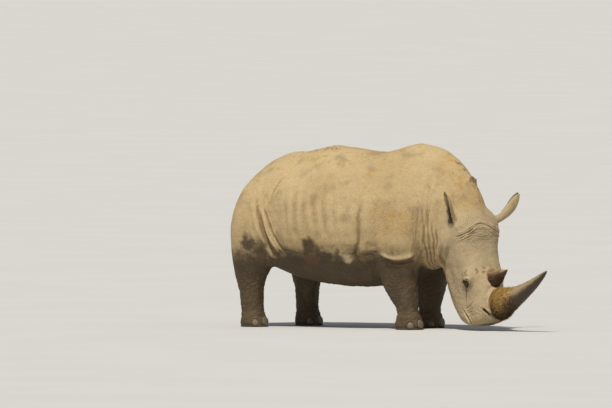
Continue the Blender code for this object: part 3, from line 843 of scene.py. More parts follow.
def foot_wrinkles(points):
    """A fold above the nails, and small level wrinkles over the toes."""
    z = points[:, 2]
    where = eased(z, 0.22, 0.15) * eased(z, 0.015, 0.04) * (points[:, 0] < 1.0)
    rings = np.maximum(np.cos(2 * math.pi * (z + 0.006 * noise(points, 0.05, 81)) / 0.021), -0.3)
    wander = 0.012 * noise(points, 0.10, 82)
    band = 0.0035 * hump(z + wander, 0.125, 0.014) * (points[:, 0] < 1.0)
    pad = -0.0050 * hump(z, 0.022, 0.006) * (points[:, 0] < 1.0)
    return -0.0016 * rings * where * eased(z, 0.10, 0.13) + band + pad


# The middle line of the tail's lower part: heights, and x and y there.
TAIL_HEIGHTS = (0.55, 0.62, 0.72, 0.82, 0.92)
TAIL_X = (-1.183, -1.180, -1.172, -1.160, -1.150)
TAIL_Y = (0.086, 0.080, 0.072, 0.060, 0.046)
TAIL_FLESH_END = 0.62


def tail_shape(points):
    """The tail is thinner than its solid where bristles fill that out."""
    x, y, z = points.T
    tail = (x < -1.125) & (z < 0.84) & (z > 0.40)
    low = eased(z, 0.80, 0.72) * tail
    out = points.copy()
    out[:, 1] = y + (np.interp(z, TAIL_HEIGHTS, TAIL_Y) - y) * 0.55 * low
    squeezed = TAIL_FLESH_END + (z - TAIL_FLESH_END) * 0.25
    out[:, 2] = np.where(tail & (z < TAIL_FLESH_END), squeezed, z)
    return out


# Markings.


def blob(points, centre, size, seed, rag=0.5):
    """A ragged patch round a place, 1 in its middle."""
    gap = ((points - np.array(centre)) ** 2 / np.square(size)).sum(axis=1)
    near = np.flatnonzero(gap < 4)
    ragged = np.sqrt(gap[near]) + rag * rough_noise(points[near], 0.10, seed)
    patch = np.zeros(len(points))
    patch[near] = eased(ragged, 1.6, 0.25)
    return patch


def markings(points, normals, hollow):
    """Ochre dust, dark mud and painted shade, rust, grey, pale painted light, and tear stains with
    painted shade in slits and creases: how much of each a point wears.
    """
    x, y, z = points.T
    along, rise, left = head_place(points)
    side = on_near_side(points)
    head = eased(x, 1.12, 1.24) * eased(along, -0.10, 0.06)
    patch = rough_noise(points, 0.22, 91)
    fleck = rough_noise(points, 0.06, 92)
    chips = rough_noise(points, 0.032, 89, 2)

    top = eased(normals[:, 2], 0.35, 0.85) * eased(z, 1.15, 1.45)
    ochre = top * eased(0.5 * patch + 0.5 * fleck + 0.6 * chips, 0.15, 0.85) * 0.9
    crest = eased(x, 0.95, 1.15) * eased(normals[:, 2] + 0.5 * normals[:, 0], 0.3, 0.8) * (1 - head)
    dusting = 0.42 + 0.45 * eased(0.6 * fleck + 0.5 * patch + 0.7 * chips, -0.1, 0.7)
    ochre = np.maximum(ochre, crest * dusting)
    broken = eased(0.5 * fleck + 0.8 * chips, -0.4, 0.5)
    for centre, size in (
        ((0.50, -0.22, 1.60), (0.09, 0.10, 0.05)),
        ((0.45, -0.34, 1.49), (0.06, 0.10, 0.05)),
        ((0.41, -0.43, 1.37), (0.04, 0.08, 0.09)),
        ((0.13, -0.31, 1.57), (0.10, 0.10, 0.05)),
        ((-0.30, -0.25, 1.60), (0.12, 0.10, 0.05)),
        ((-0.58, -0.47, 1.18), (0.03, 0.06, 0.12)),
        ((0.76, -0.44, 1.01), (0.26, 0.14, 0.15)),
        ((1.40, -0.16, 1.22), (0.09, 0.20, 0.05)),
    ):
        ochre = np.maximum(ochre, 0.9 * blob(side, centre, size, 93) * broken)

    # Dark below, partly mud and partly painted shade: the downward-facing belly and the inner faces of
    # the legs are painted as if in shadow, and the legs and the low flank carry mud and painted shade
    # both.
    under = eased(normals[:, 2], 0.05, -0.70)
    brisket = eased(x, 0.86, 0.98) * eased(z, 0.42, 0.52)
    belly = under * eased(z, 1.00, 0.60) * (1 - head) * (1 - 0.85 * brisket)
    ragged = z + 0.05 * patch + 0.035 * fleck + 0.02 * chips
    line = 0.70 + 0.12 * eased(x, -0.45, -0.62) - 0.10 * eased(x, -0.80, -0.95)
    line = line - 0.14 * eased(x, 0.88, 1.00)
    leg = eased(ragged + 0.03 * patch, line, line - 0.20) * (1 - head)
    leg = leg * (0.86 + 0.14 * eased(z, 0.40, 0.60))
    inner = leg * eased(normals[:, 1] * np.sign(y), 0.35, -0.35)
    low_flank = 0.80 * eased(ragged, 0.88, 0.56) * (1 - head) * (1 - 0.8 * eased(x, 0.86, 0.98))
    dark = np.maximum(np.maximum(belly, low_flank), np.maximum(0.93 * leg, inner))
    dark = dark * (0.88 + 0.22 * patch)
    # Soft dark patches on flank and thigh: mud, and painted shade in the dents between the muscles.
    for centre, size, strength in (
        ((-0.11, -0.56, 0.755), (0.12, 0.14, 0.085), 0.80),
        ((0.02, -0.55, 0.660), (0.18, 0.14, 0.08), 0.80),
        ((-0.81, -0.53, 0.79), (0.075, 0.16, 0.075), 0.75),
        ((-0.69, -0.50, 0.715), (0.09, 0.16, 0.09), 0.85),
        ((0.20, -0.55, 0.69), (0.12, 0.14, 0.07), 0.6),
    ):
        dark = np.maximum(dark, strength * blob(side, centre, size, 94, 0.5))
    dark = np.clip(dark, 0, 1)

    rust = 0.95 * blob(side, (-0.13, -0.54, 0.655), (0.14, 0.14, 0.055), 95, 0.5)
    rust = np.maximum(rust, 0.35 * blob(side, (0.68, -0.46, 0.57), (0.09, 0.10, 0.06), 96))
    rust = np.maximum(rust, 0.35 * leg * eased(fleck, 0.1, 0.7))
    loin = eased(z, 1.655, 1.69) * (x < 0.1) + eased(np.abs(y), 0.10, 0.04) * crest
    rust = np.maximum(rust, 0.85 * np.clip(loin, 0, 1) * eased(0.7 * chips + fleck, 0.1, 0.9))
    rust = np.maximum(rust, blob(points, NAPE_KNOB, (0.05, 0.07, 0.045), 98, 0.3))
    stains = head * hump(along, 0.57, 0.09) * eased(rise, -0.30, -0.10)
    stains = stains * eased(fleck + 0.7 * chips, -0.4, 0.5)
    rust = np.maximum(rust, 0.72 * stains)
    freckles = (top + head * 0.5) * eased(chips, 0.75, 1.05)
    rust = np.maximum(rust, 0.8 * np.clip(freckles, 0, 1))

    # Painted light: a pool of light low on the flank behind the foreleg, a highlight along the lip of the
    # flap over the foreleg, and a highlight on the bulge above each eye.
    pale = 0.85 * blob(side, (0.27, -0.53, 0.685), (0.070, 0.10, 0.040), 97, 1.1)
    flap = ridge(side, FLAP_EDGE, 1.0, 0.030)
    pale = np.maximum(pale, 0.8 * np.clip(flap, 0, 1))
    for side_name in SIDES:
        gap = np.linalg.norm(points - eye_centre(side_name) - RISE * 0.020 + ALONG * 0.048, axis=1)
        pale = np.maximum(pale, 0.8 * eased(gap, 0.050, 0.026))

    # Dark lines and hollows of the face and ears: a tear stain down from each eye, and painted shade in
    # the nostril slits, along the mouth, round the eyes and inside the ears.
    tear_and_shade = np.zeros(len(points))
    for sign in SIDES.values():
        line = ((0.70, -0.10, sign * 0.20), (0.80, -0.145, sign * 0.185), (0.93, -0.155, sign * 0.17))
        place = np.stack((along, rise, left), axis=1)
        own = left * sign > 0.03
        flat = sideways_flat(place)
        tear_and_shade = np.maximum(tear_and_shade, own * ridge(flat, sideways_flat(line), 0.42, 0.0070, (0.05, 0.5)))
        # Painted shade in the nostril slit.
        slit = ridge(flat, sideways_flat(nostril_line(sign)), 1.3, 0.0085, (0.1, 0.2))
        tear_and_shade = np.maximum(tear_and_shade, own * np.clip(slit, 0, 1))
        # Painted shade along the line of the mouth.
        tear_and_shade = np.maximum(tear_and_shade, ridge(place, MOUTH, 0.45, 0.007, (0.15, 0.15)))
    # Round each eye: a dark ring and a dark wedge towards the brow, and painted shade in the hollows and
    # lines of its wrinkles.
    for side_name in SIDES:
        apart = points - eye_centre(side_name)
        outward = eye_axis(SIDES[side_name])
        across = np.cross(outward, ALONG)
        beside = np.abs(apart @ outward) < 0.06
        reach = np.hypot(apart @ ALONG, 1.25 * (apart @ across))
        tear_and_shade = np.maximum(tear_and_shade, 0.95 * beside * eased(reach, 0.043, 0.029))
        corner = apart + 0.022 * ALONG + 0.016 * RISE
        wedge = np.hypot(corner @ (ALONG - RISE), 0.8 * (corner @ (ALONG + RISE)))
        tear_and_shade = np.maximum(tear_and_shade, 0.95 * beside * eased(wedge, 0.040, 0.024))
        reach = np.hypot(apart @ ALONG, apart @ across)
        rings = eased(reach, 0.078, 0.050) * (0.12 + 0.75 * eased(hollow, 0.0, 0.35))
        tear_and_shade = np.maximum(tear_and_shade, beside * rings)
        reach = reach + lid_wander(points)
        lines = hump(reach, 0.045, 0.0032) + hump(reach, 0.0575, 0.0034)
        lines = lines + 0.8 * hump(reach, 0.071, 0.0036)
        lines *= eased(apart @ ALONG + 0.5 * (apart @ across), -0.020, 0.025)
        tear_and_shade = np.maximum(tear_and_shade, 0.62 * beside * lines)
    # Painted shade inside the ears, deepest towards their feet.
    ears = np.zeros(len(points))
    for side_name, sign in SIDES.items():
        for share, centre, _, forward, _, width in ear_rings(side_name)[1]:
            if 0.14 < share < 0.96:
                gap = np.linalg.norm(points - centre, axis=1)
                inside = eased(gap, width + 0.016, width - 0.010) * eased(normals @ forward, -0.1, 0.6)
                ears = np.maximum(ears, inside * (1.0 - 0.8 * eased(share, 0.30, 0.70)))
    tear_and_shade = np.maximum(tear_and_shade, ears)
    pebbles = blob(side, (0.74, -0.44, 1.02), (0.32, 0.16, 0.20), 99, 0.4)
    pebbles = np.maximum(pebbles, 0.6 * blob(side, (0.05, -0.50, 1.05), (0.45, 0.20, 0.25), 90, 0.4))
    pebbles = np.maximum(pebbles, 0.25 * eased(normals[:, 2] + 0.3 * patch, 0.0, 0.9))
    return {
        "pebbles": pebbles,
        "ochre": np.clip(ochre, 0, 1) * (1 - dark),
        "dark": dark * (1 - pale),
        "rust": np.clip(rust, 0, 1),
        "pale": np.clip(pale, 0, 1),
        "head": head,
        "tear_and_shade": np.clip(tear_and_shade, 0, 1),
    }


# Unwrap of the skin: flat charts of each body part, seen along the part's own axes.


def chart_keys(centres, normals):
    """For each face the number of its chart, and the two axes along which that chart lies."""
    x, y, z = centres.T
    left = head_place(centres)[2]
    head = (centres - np.array((1.16, -0.03, 0.97))) @ np.array((0.82, -0.18, -0.52)) > 0
    ears = ear_share(centres) > 0.5
    leg = (z < 0.60) & ~head & (np.abs(y) > 0.10) & (x > -1.12)
    tail = (x < -1.06) & (np.abs(y - 0.03) < 0.11) & ~leg & (normals[:, 2] < 0.6)
    part = np.zeros(len(centres), int)
    part[leg & (x > 0)] = 1
    part[leg & (x <= 0)] = 2
    part[head] = 3
    part[tail] = 4
    part[ears] = 5
    far = np.where(part == 3, left > 0, np.where(part == 4, y > 0.04, y > 0)).astype(int)
    far[part == 5] = (left > 0)[part == 5]

    own = np.stack([normals @ ALONG, normals @ RISE, normals @ HEAD_LEFT], axis=1)
    headed = (part == 3) | (part == 5)
    facing = np.where(headed[:, None], own, normals)
    # The sideways axis is the third in the head's frame and the second in the body's.
    sideways = np.where(headed, 2, 1)
    weight = np.abs(facing)
    weight[np.arange(len(weight)), sideways] *= 1.35
    axis = weight.argmax(axis=1)
    sign = (facing[np.arange(len(facing)), axis] > 0).astype(int)
    return ((part * 2 + far) * 3 + axis) * 2 + sign, headed, axis


CHART_GAP = 0.02
CHART_ROW = 5.2


def unwrap(mesh, start):
    """Lays the charts side by side in the unit square, all at one scale."""
    moved = points_of(mesh)
    set_points(mesh, start)
    keys, headed, axis = chart_keys(face_centres(mesh), read(mesh.polygons, "normal"))
    set_points(mesh, moved)

    corners = read(mesh.loops, "vertex_index", 1, int).ravel()
    sizes = read(mesh.polygons, "loop_total", 1, int).ravel()
    face = np.repeat(np.arange(len(sizes)), sizes)
    own = np.stack(head_place(start), axis=1)
    place = np.where(headed[face][:, None], own[corners], start[corners])
    first = np.where(axis[face] == 0, 1, 0)
    second = np.where(axis[face] == 2, 1, 2)
    rows = np.arange(len(face))
    flat = np.stack([place[rows, first], place[rows, second]], axis=1)

    key = keys[face]
    boxes = []
    for chart in np.unique(keys):
        mine = key == chart
        low, high = flat[mine].min(axis=0), flat[mine].max(axis=0)
        boxes.append((high[1] - low[1], high[0] - low[0], low, mine))
    boxes.sort(key=lambda box: -box[0])
    left, bottom, shelf = CHART_GAP, CHART_GAP, 0.0
    for height, width, low, mine in boxes:
        if left + width + CHART_GAP > CHART_ROW:
            left, bottom, shelf = CHART_GAP, bottom + shelf + CHART_GAP, 0.0
        flat[mine] += np.array((left, bottom)) - low
        left += width + CHART_GAP
        shelf = max(shelf, height)
    add_unwrap(mesh, flat / max(CHART_ROW, bottom + shelf + CHART_GAP))


# Materials. Each helper adds one node to a look and gives back its output.


class Look:
    """A material in the making."""

    def __init__(self, name, roughness, specular):
        self.material = bpy.data.materials.new(name)
        self.material.use_nodes = True
        self.tree = self.material.node_tree
        self.shader = self.tree.nodes["Principled BSDF"]
        self.shader.inputs["Roughness"].default_value = roughness
        self.shader.inputs["Specular IOR Level"].default_value = specular
        self.place = self.node("ShaderNodeTexCoord", {}).outputs["Object"]

    def node(self, kind, inputs, **settings):
        """A new node with these settings, whose named inputs are then fed."""
        made = self.tree.nodes.new(kind)
        for setting, value in settings.items():
            setattr(made, setting, value)
        for socket, value in inputs.items():
            self.feed(made.inputs[socket], value)
        return made

    def feed(self, socket, value):
        if isinstance(value, bpy.types.NodeSocket):
            self.tree.links.new(value, socket)
        elif isinstance(value, (tuple, list)) and len(value) == 3 and socket.type == "RGBA":
            socket.default_value = (*value, 1)
        else:
            socket.default_value = value

    def maths(self, operation, one, other, clamp=False):
        inputs = {0: one, 1: other}
        return self.node("ShaderNodeMath", inputs, operation=operation, use_clamp=clamp).outputs[0]

    def times(self, one, other):
        return self.maths("MULTIPLY", one, other)

    def plus(self, one, other, share, clamp=False):
        """One input with a share of the other added."""
        return self.maths("ADD", one, self.times(other, share), clamp)

    def mixed(self, one, other, share, blend="MIX"):
        inputs = {"Factor": share, "A": one, "B": other}
        made = self.node("ShaderNodeMix", inputs, data_type="RGBA", blend_type=blend)
        return made.outputs["Result"]

    def ramp(self, value, low, high, to_low=0.0, to_high=1.0):
        inputs = {"Value": value, "From Min": low, "From Max": high, "To Min": to_low, "To Max": to_high}
        made = self.node("ShaderNodeMapRange", inputs, interpolation_type="SMOOTHSTEP")
        return made.outputs["Result"]

    def clouds(self, scale, detail, roughness=0.55):
        inputs = {"Vector": self.place, "Scale": scale, "Detail": detail, "Roughness": roughness}
        return self.node("ShaderNodeTexNoise", inputs).outputs["Fac"]

    def cells(self, scale, place):
        inputs = {"Vector": place, "Scale": scale}
        made = self.node("ShaderNodeTexVoronoi", inputs, feature="DISTANCE_TO_EDGE")
        return made.outputs["Distance"]

    def warped(self, scale, amount):
        """The place, shifted about by noise."""
        inputs = {"Vector": self.place, "Scale": scale, "Detail": 2.0}
        made = self.node("ShaderNodeTexNoise", inputs)
        inputs = {0: made.outputs["Color"], "Scale": amount}
        shift = self.node("ShaderNodeVectorMath", inputs, operation="SCALE")
        inputs = {0: self.place, 1: shift.outputs[0]}
        return self.node("ShaderNodeVectorMath", inputs, operation="ADD").outputs[0]

    def layer(self, name):
        """The red, green and blue of a colour layer."""
        made = self.node("ShaderNodeAttribute", {}, attribute_name=name)
        parts = self.node("ShaderNodeSeparateColor", {"Color": made.outputs["Color"]})
        return parts.outputs[:3]

    def bump(self, height, depth, strength=1.0):
        inputs = {"Height": height, "Distance": depth, "Strength": strength}
        return self.node("ShaderNodeBump", inputs).outputs["Normal"]

    def finish(self, colour, normal=None, roughness=None):
        self.feed(self.shader.inputs["Base Color"], colour)
        if normal:
            self.feed(self.shader.inputs["Normal"], normal)
        if roughness is not None:
            self.feed(self.shader.inputs["Roughness"], roughness)
        return self.material


TAN = (0.490, 0.360, 0.185)
SUNLIT_TAN = (0.560, 0.425, 0.230)
GREY_TAN = (0.395, 0.305, 0.185)
HEAD_GREY = (0.450, 0.360, 0.230)
OCHRE = (0.455, 0.275, 0.075)
# Dark mud, which also serves as painted shade below.
DARK_MUD_AND_SHADE = (0.046, 0.032, 0.019)
DRIED_MUD = (0.112, 0.077, 0.043)
RUST = (0.125, 0.062, 0.030)
# Pale dust, which also serves as painted light.
PALE_DUST_AND_LIGHT = (0.590, 0.470, 0.290)
# Near black, for tear stains and for painted shade in slits, creases and ears.
STAIN_AND_SHADE = (0.022, 0.016, 0.012)
# Dark brown for cracks, which also serves as painted shade in the hollows.
CRACK_AND_CREASE_SHADE = (0.180, 0.115, 0.055)
SEAM = (0.270, 0.165, 0.058)


def hide_look():
    """Dry hide, dusted tan, with ochre earth on top, dark mud and painted shade below, painted shade in
    hollows and slits, and a few pale painted highlights.
    """
    look = Look("hide", 0.88, 0.22)
    ochre, dark, rust = look.layer("mud")
    pale, head, tear_and_shade = look.layer("areas")
    hollow, pebbly, _ = look.layer("relief")
    broad = look.clouds(1.7, 4.0)
    blotch = look.clouds(7.0, 5.0, 0.6)
    speck = look.clouds(48.0, 4.0, 0.65)
    grain = look.clouds(150.0, 3.0, 0.7)

    colour = look.mixed(TAN, SUNLIT_TAN, look.ramp(broad, 0.38, 0.64))
    colour = look.mixed(colour, GREY_TAN, look.ramp(blotch, 0.45, 0.75, 0.0, 0.40))
    colour = look.mixed(colour, HEAD_GREY, look.times(head, 0.65))
    spots = look.ramp(look.plus(blotch, speck, 0.6), 0.80, 1.02)
    colour = look.mixed(colour, CRACK_AND_CREASE_SHADE, look.times(spots, 0.34))
    ragged = look.ramp(look.plus(ochre, speck, 0.7), 0.50, 1.35)
    colour = look.mixed(colour, OCHRE, look.times(ragged, 0.75))
    # Painted light: pale patches where light pools, and highlights.
    colour = look.mixed(colour, PALE_DUST_AND_LIGHT, look.times(pale, 0.8))
    worn = look.ramp(look.times(hollow, -1.0), 0.08, 0.5)
    colour = look.mixed(colour, PALE_DUST_AND_LIGHT, look.times(worn, 0.22))
    # Dark mud and painted shade on the belly, legs and low flank.
    mud_and_shade = look.ramp(look.plus(dark, speck, 0.30), 0.13, 0.88)
    colour = look.mixed(colour, DARK_MUD_AND_SHADE, look.times(mud_and_shade, 0.95))
    dried = look.ramp(look.plus(blotch, speck, 0.7), 0.76, 1.06, 0.0, 0.50)
    dried = look.plus(dried, worn, 0.5, clamp=True)
    colour = look.mixed(colour, DRIED_MUD, look.times(dried, mud_and_shade))
    rusty = look.ramp(look.plus(rust, speck, 0.4), 0.50, 1.1)
    colour = look.mixed(colour, RUST, look.times(rusty, 0.7))
    # Painted shade in the hollows of folds and wrinkles.
    deep = look.ramp(hollow, 0.10, 0.85)
    clear_of_mud_and_shade = look.maths("SUBTRACT", 0.55, look.times(mud_and_shade, 0.4))
    colour = look.mixed(colour, CRACK_AND_CREASE_SHADE, look.times(deep, clear_of_mud_and_shade))
    # Tear stains, and painted shade in nostrils, mouth, eye wrinkles and ears.
    colour = look.mixed(colour, STAIN_AND_SHADE, look.times(tear_and_shade, 0.93))

    wandering = look.warped(14.0, 0.035)
    plates = look.ramp(look.cells(58.0, wandering), 0.0, 0.30)
    pebbles = look.ramp(look.cells(140.0, wandering), 0.0, 0.25)
    between = look.maths("SUBTRACT", 1.0, look.ramp(plates, 0.0, 0.6))
    seams = look.times(between, look.plus(0.08, pebbly, 0.36))
    colour = look.mixed(colour, SEAM, seams)
    dusty = look.plus(look.times(grain, 0.6), speck, 0.4)
    dusty = look.ramp(dusty, 0.36, 0.66, 0.80, 1.12)
    colour = look.mixed(colour, dusty, 1.0, "MULTIPLY")

    height = look.times(plates, look.plus(0.22, pebbly, 0.75))
    height = look.plus(height, pebbles, 0.22)
    height = look.plus(height, speck, 1.0)
    height = look.plus(height, grain, 0.35)
    normal = look.bump(height, 0.0030, strength=0.8)
    rough = look.ramp(mud_and_shade, 0.0, 1.0, 0.86, 0.60)
    return look.finish(colour, normal, rough)


def worn_piece(name, mesh, look, nodes):
    """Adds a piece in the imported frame, on the root, in place of the given solids."""
    set_points(mesh, points_of(mesh) + BODY_ORIGIN)
    mesh.shade_smooth()
    mesh.materials.append(look)
    piece = add_object(name, mesh)
    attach(piece, "root")
    if nodes:
        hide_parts(*nodes)


# The skin.


def make_skin():
    mesh = skin_form()
    start, hollow = fold_skin(mesh)
    normals = normals_of(mesh)
    worn = markings(start, normals, hollow)
    colour_layer(mesh, "mud", (worn["ochre"], worn["dark"], worn["rust"]))
    colour_layer(mesh, "areas", (worn["pale"], worn["head"], worn["tear_and_shade"]))
    colour_layer(mesh, "relief", (hollow, worn["pebbles"]))
    unwrap(mesh, start)
    worn_piece("skin", mesh, hide_look(), FLESH + EARS)


# Horns.

FRONT_HORN = (
    (-0.14, 0.004, 0.110, 0.084), (-0.03, 0.0, 0.142, 0.106), (0.07, -0.006, 0.138, 0.106),
    (0.16, -0.020, 0.120, 0.096), (0.32, -0.038, 0.096, 0.080), (0.52, -0.075, 0.074, 0.062),
    (0.72, -0.122, 0.052, 0.045), (0.87, -0.165, 0.033, 0.030), (0.96, -0.194, 0.018, 0.017),
    (1.00, -0.208, 0.006, 0.006),
)
REAR_HORN = (
    (-0.20, 0.0, 0.080, 0.062), (0.0, 0.0, 0.088, 0.070), (0.25, -0.004, 0.074, 0.060),
    (0.55, -0.020, 0.048, 0.040), (0.85, -0.038, 0.022, 0.018), (1.00, -0.052, 0.007, 0.006),
)


GROWTH_STEP = 0.055


def horn_form(name, stations, foot, height, shag_end, rough_depth):
    """A horn of matted fibres: shaggy up to a share of its height, and worn smooth above."""
    around = 144
    rows = flowing(stations, 14)
    turn = np.arange(around) * 2 * math.pi / around
    share = np.repeat(rows[:, 0], around)
    angle = np.tile(turn, len(rows))
    centre = np.array([on_head(foot[0] + row[1], foot[1] + height * row[0]) for row in rows])
    rings = centre[:, None] + (
        rows[:, 2, None, None] * np.cos(turn)[None, :, None] * ALONG
        + rows[:, 3, None, None] * np.sin(turn)[None, :, None] * HEAD_LEFT
    )
    mesh = lofted(name, rings)
    points, normals = points_of(mesh), normals_of(mesh)
    shag = eased(share, shag_end + 0.12, shag_end - 0.05)
    around_place = np.stack([np.cos(angle) * 0.10, np.sin(angle) * 0.10, share * height / 6], axis=1)
    fibres = noise(around_place, 0.006, 101) + 0.6 * noise(around_place, 0.0030, 102)
    strands = noise(around_place * (1, 1, 1.6), 0.016, 103)
    clumps = rough_noise(points, 0.035, 104)
    turns = share * height / GROWTH_STEP + 0.5 * noise(points, 0.06, 105)
    steps = np.maximum(np.cos(2 * math.pi * turns), 0)
    width = np.repeat(rows[:, 3], around)
    move = shag * rough_depth * (0.55 * fibres + 0.5 * strands + 0.8 * clumps)
    grain = 0.0006 * fibres + 0.0012 * strands + 0.0007 * steps
    move += (1 - shag) * grain * np.clip(width / 0.05, 0.2, 1)
    move -= 0.0016 * shag
    set_points(mesh, points + normals * move[:, None])
    fibres, strands, clumps = 0.5 + 0.4 * fibres, 0.5 + 0.5 * strands, 0.5 + 0.4 * clumps
    colour_layer(mesh, "worn", (shag, 0.5 + 0.5 * np.cos(angle), np.clip(fibres, 0, 1)))
    colour_layer(mesh, "streak", [np.clip(column, 0, 1) for column in (strands, clumps, share)])
    return mesh, share, angle, normals


def horn_look(name, root, root_dark, shaft, shaft_dark, under, tip, shade):
    """Horn in the given colours, with painted shade darkening its underside from the given shade on."""
    look = Look(name, 0.62, 0.4)
    shag, front, fibre = look.layer("worn")
    strand, clump, share = look.layer("streak")
    fine = look.clouds(220.0, 3.0, 0.6)
    mottle = look.clouds(26.0, 5.0, 0.65)
    base = look.mixed(root_dark, root, look.ramp(look.plus(fibre, clump, 0.8), 0.45, 1.25))
    base = look.mixed(base, shaft, look.ramp(mottle, 0.55, 0.75, 0.0, 0.5))
    smooth = look.mixed(shaft, shaft_dark, look.ramp(strand, 0.45, 0.9, 0.0, 0.7))
    smooth = look.mixed(smooth, shaft_dark, look.ramp(fibre, 0.5, 1.0, 0.0, 0.35))
    smooth = look.mixed(smooth, tip, look.ramp(share, 0.72, 1.0, 0.0, 0.7))
    colour = look.mixed(smooth, base, shag)
    # Painted shade: the underside, which faces the nose, takes the dark under colour; on the rear horn
    # that colour is rust-dark as well.
    low = look.ramp(look.plus(front, mottle, 0.45), shade, shade + 0.4)
    colour = look.mixed(colour, under, look.times(low, 0.92))
    colour = look.mixed(colour, look.ramp(fine, 0.3, 0.7, 0.85, 1.10), 1.0, "MULTIPLY")
    coarse = look.times(mottle, look.ramp(shag, 0.0, 1.0, 0.15, 1.2))
    height = look.maths("ADD", look.times(fine, 0.5), coarse)
    normal = look.bump(height, 0.0016, strength=0.7)
    return look.finish(colour, normal, look.ramp(shag, 0.0, 1.0, 0.48, 0.85))


LOCK_PATCH = 0.003


def strips(name, roots, leans, sides, lengths, widths, places, bend, tones=None):
    """Many thin tapered locks in one mesh, each with its own small patch of the unwrap."""
    steps = np.array((0.0, 0.45, 0.8))
    thick = np.array((1.0, 0.8, 0.45))
    count = len(roots)
    upward = np.cross(leans, sides)
    corners = ((-1.0, -0.25), (1.0, -0.25), (0.0, 0.45))
    layers = []
    for step, size in zip(steps, thick):
        spine = roots + leans * (lengths * step)[:, None]
        spine = spine - upward * (bend * lengths * step**2)[:, None]
        for across, rise in corners:
            corner = spine + sides * (widths * size * across)[:, None]
            layers.append(corner + upward * (widths * size * rise)[:, None])
    tip = roots + leans * lengths[:, None] - upward * (bend * lengths)[:, None]
    points = np.stack(layers + [tip], axis=1).reshape(-1, 3)
    faces, flats = [], []
    for row in range(2):
        for side in range(3):
            after = (side + 1) % 3
            faces.append((row * 3 + side, row * 3 + after, row * 3 + 3 + after, row * 3 + 3 + side))
            flats.append(((side, row), (side + 1, row), (side + 1, row + 1), (side, row + 1)))
    for side in range(3):
        faces.append((6 + side, 6 + (side + 1) % 3, 9))
        flats.append(((side, 2), (side + 1, 2), (side + 0.5, 3)))
    faces.append((2, 1, 0))
    flats.append(((0, 0.0), (3, 0.0), (1.5, 0.6)))
    every = []
    for index in range(count):
        every += [tuple(10 * index + corner for corner in face) for face in faces]
    mesh = mesh_of(name, points, every)
    patch = np.array([flat for group in flats for flat in group]) / 3 * LOCK_PATCH
    add_unwrap(mesh, np.asarray(places)[:, None, :] * 0.98 + 0.008 + patch[None])
    face_outward(mesh)
    if tones is None:
        tones = np.random.default_rng(7).uniform(0, 1, count)
    tone = np.repeat(tones, 10)
    along = np.tile(np.append(np.repeat(steps, 3), 1.0), count)
    colour_layer(mesh, "lock", (tone, along))
    return mesh


def lock_look(name, dark, pale, roughness=0.7):
    look = Look(name, roughness, 0.3)
    tone, along, _ = look.layer("lock")
    mottle = look.clouds(60.0, 3.0)
    colour = look.mixed(dark, pale, look.ramp(look.plus(tone, mottle, 0.4), 0.2, 1.0))
    colour = look.mixed(colour, dark, look.ramp(along, 0.6, 0.0, 0.0, 0.4))
    normal = look.bump(look.clouds(300.0, 2.0), 0.0005)
    return look.finish(colour, normal)


def horn_locks(name, mesh, share, angle, normals, limit, count, length, seed):
    """Frayed fibres that lie up the shaggy part of a horn."""
    rng = np.random.default_rng(seed)
    points = points_of(mesh)
    able = np.flatnonzero((share > -0.08) & (share < limit))
    chosen = able[rng.integers(0, len(able), count)]
    chosen = chosen[rng.uniform(0, 1, count) < np.clip(1.1 - share[chosen] / limit, 0, 1) ** 1.6]
    upward = RISE * 0.92 - ALONG * 0.25
    outward = normals[chosen]
    leans = unit(upward - outward * (outward @ upward)[:, None])
    leans = leans + outward * rng.uniform(0.10, 0.38, len(chosen))[:, None]
    sides = unit(np.cross(outward, leans))
    leans = unit(leans + sides * rng.normal(0, 0.22, len(chosen))[:, None])
    lengths = rng.uniform(0.5, 1.0, len(chosen)) * length * (1.1 - 0.5 * share[chosen] / limit)
    widths = rng.uniform(0.0007, 0.0017, len(chosen))
    places = np.stack([angle[chosen] / (2 * math.pi), (share[chosen] + 0.08) / (limit + 0.08)], axis=1)
    roots = points[chosen] - outward * 0.002
    lit = 0.85 - 0.60 * np.cos(angle[chosen])
    tones = np.clip(rng.uniform(0, 1, len(chosen)) * 0.6 + 0.4, 0, 1) * np.clip(lit, 0, 1)
    return strips(name, roots, leans, sides, lengths, widths, places, -0.12, tones)


def make_horn(end, slot, form, locks, colours, fibre, fibre_colours):
    """A horn and its frayed fibres, from the settings of each."""
    mesh, *measures = horn_form(end + "_horn", *form)
    frayed = horn_locks(end + "_horn_locks", mesh, *measures, *locks)
    worn_piece(end + "_horn", mesh, horn_look(slot, *colours), ["horn_" + end])
    worn_piece(end + "_horn_locks", frayed, lock_look(fibre, *fibre_colours), [])


def make_horns():
    make_horn(
        "front", "horn",
        (FRONT_HORN, FRONT_HORN_FOOT, FRONT_HORN_HEIGHT, 0.30, 0.0050),
        (0.46, 11000, 0.046, 5),
        (
            (0.48, 0.295, 0.088), (0.080, 0.042, 0.015), (0.355, 0.262, 0.155), (0.190, 0.128, 0.068),
            (0.030, 0.018, 0.009), (0.27, 0.20, 0.125), 0.52,
        ),
        "horn_fibre", ((0.045, 0.024, 0.009), (0.82, 0.55, 0.195)),
    )
    make_horn(
        "rear", "horn_worn",
        (REAR_HORN, REAR_HORN_FOOT, REAR_HORN_HEIGHT, 0.62, 0.0062),
        (0.40, 1300, 0.016, 6),
        (
            (0.34, 0.225, 0.100), (0.14, 0.075, 0.028), (0.34, 0.230, 0.110), (0.17, 0.095, 0.038),
            (0.036, 0.014, 0.006), (0.36, 0.26, 0.145), 0.34,
        ),
        "worn_fibre", ((0.05, 0.022, 0.010), (0.38, 0.26, 0.115)),
    )


# Nails.


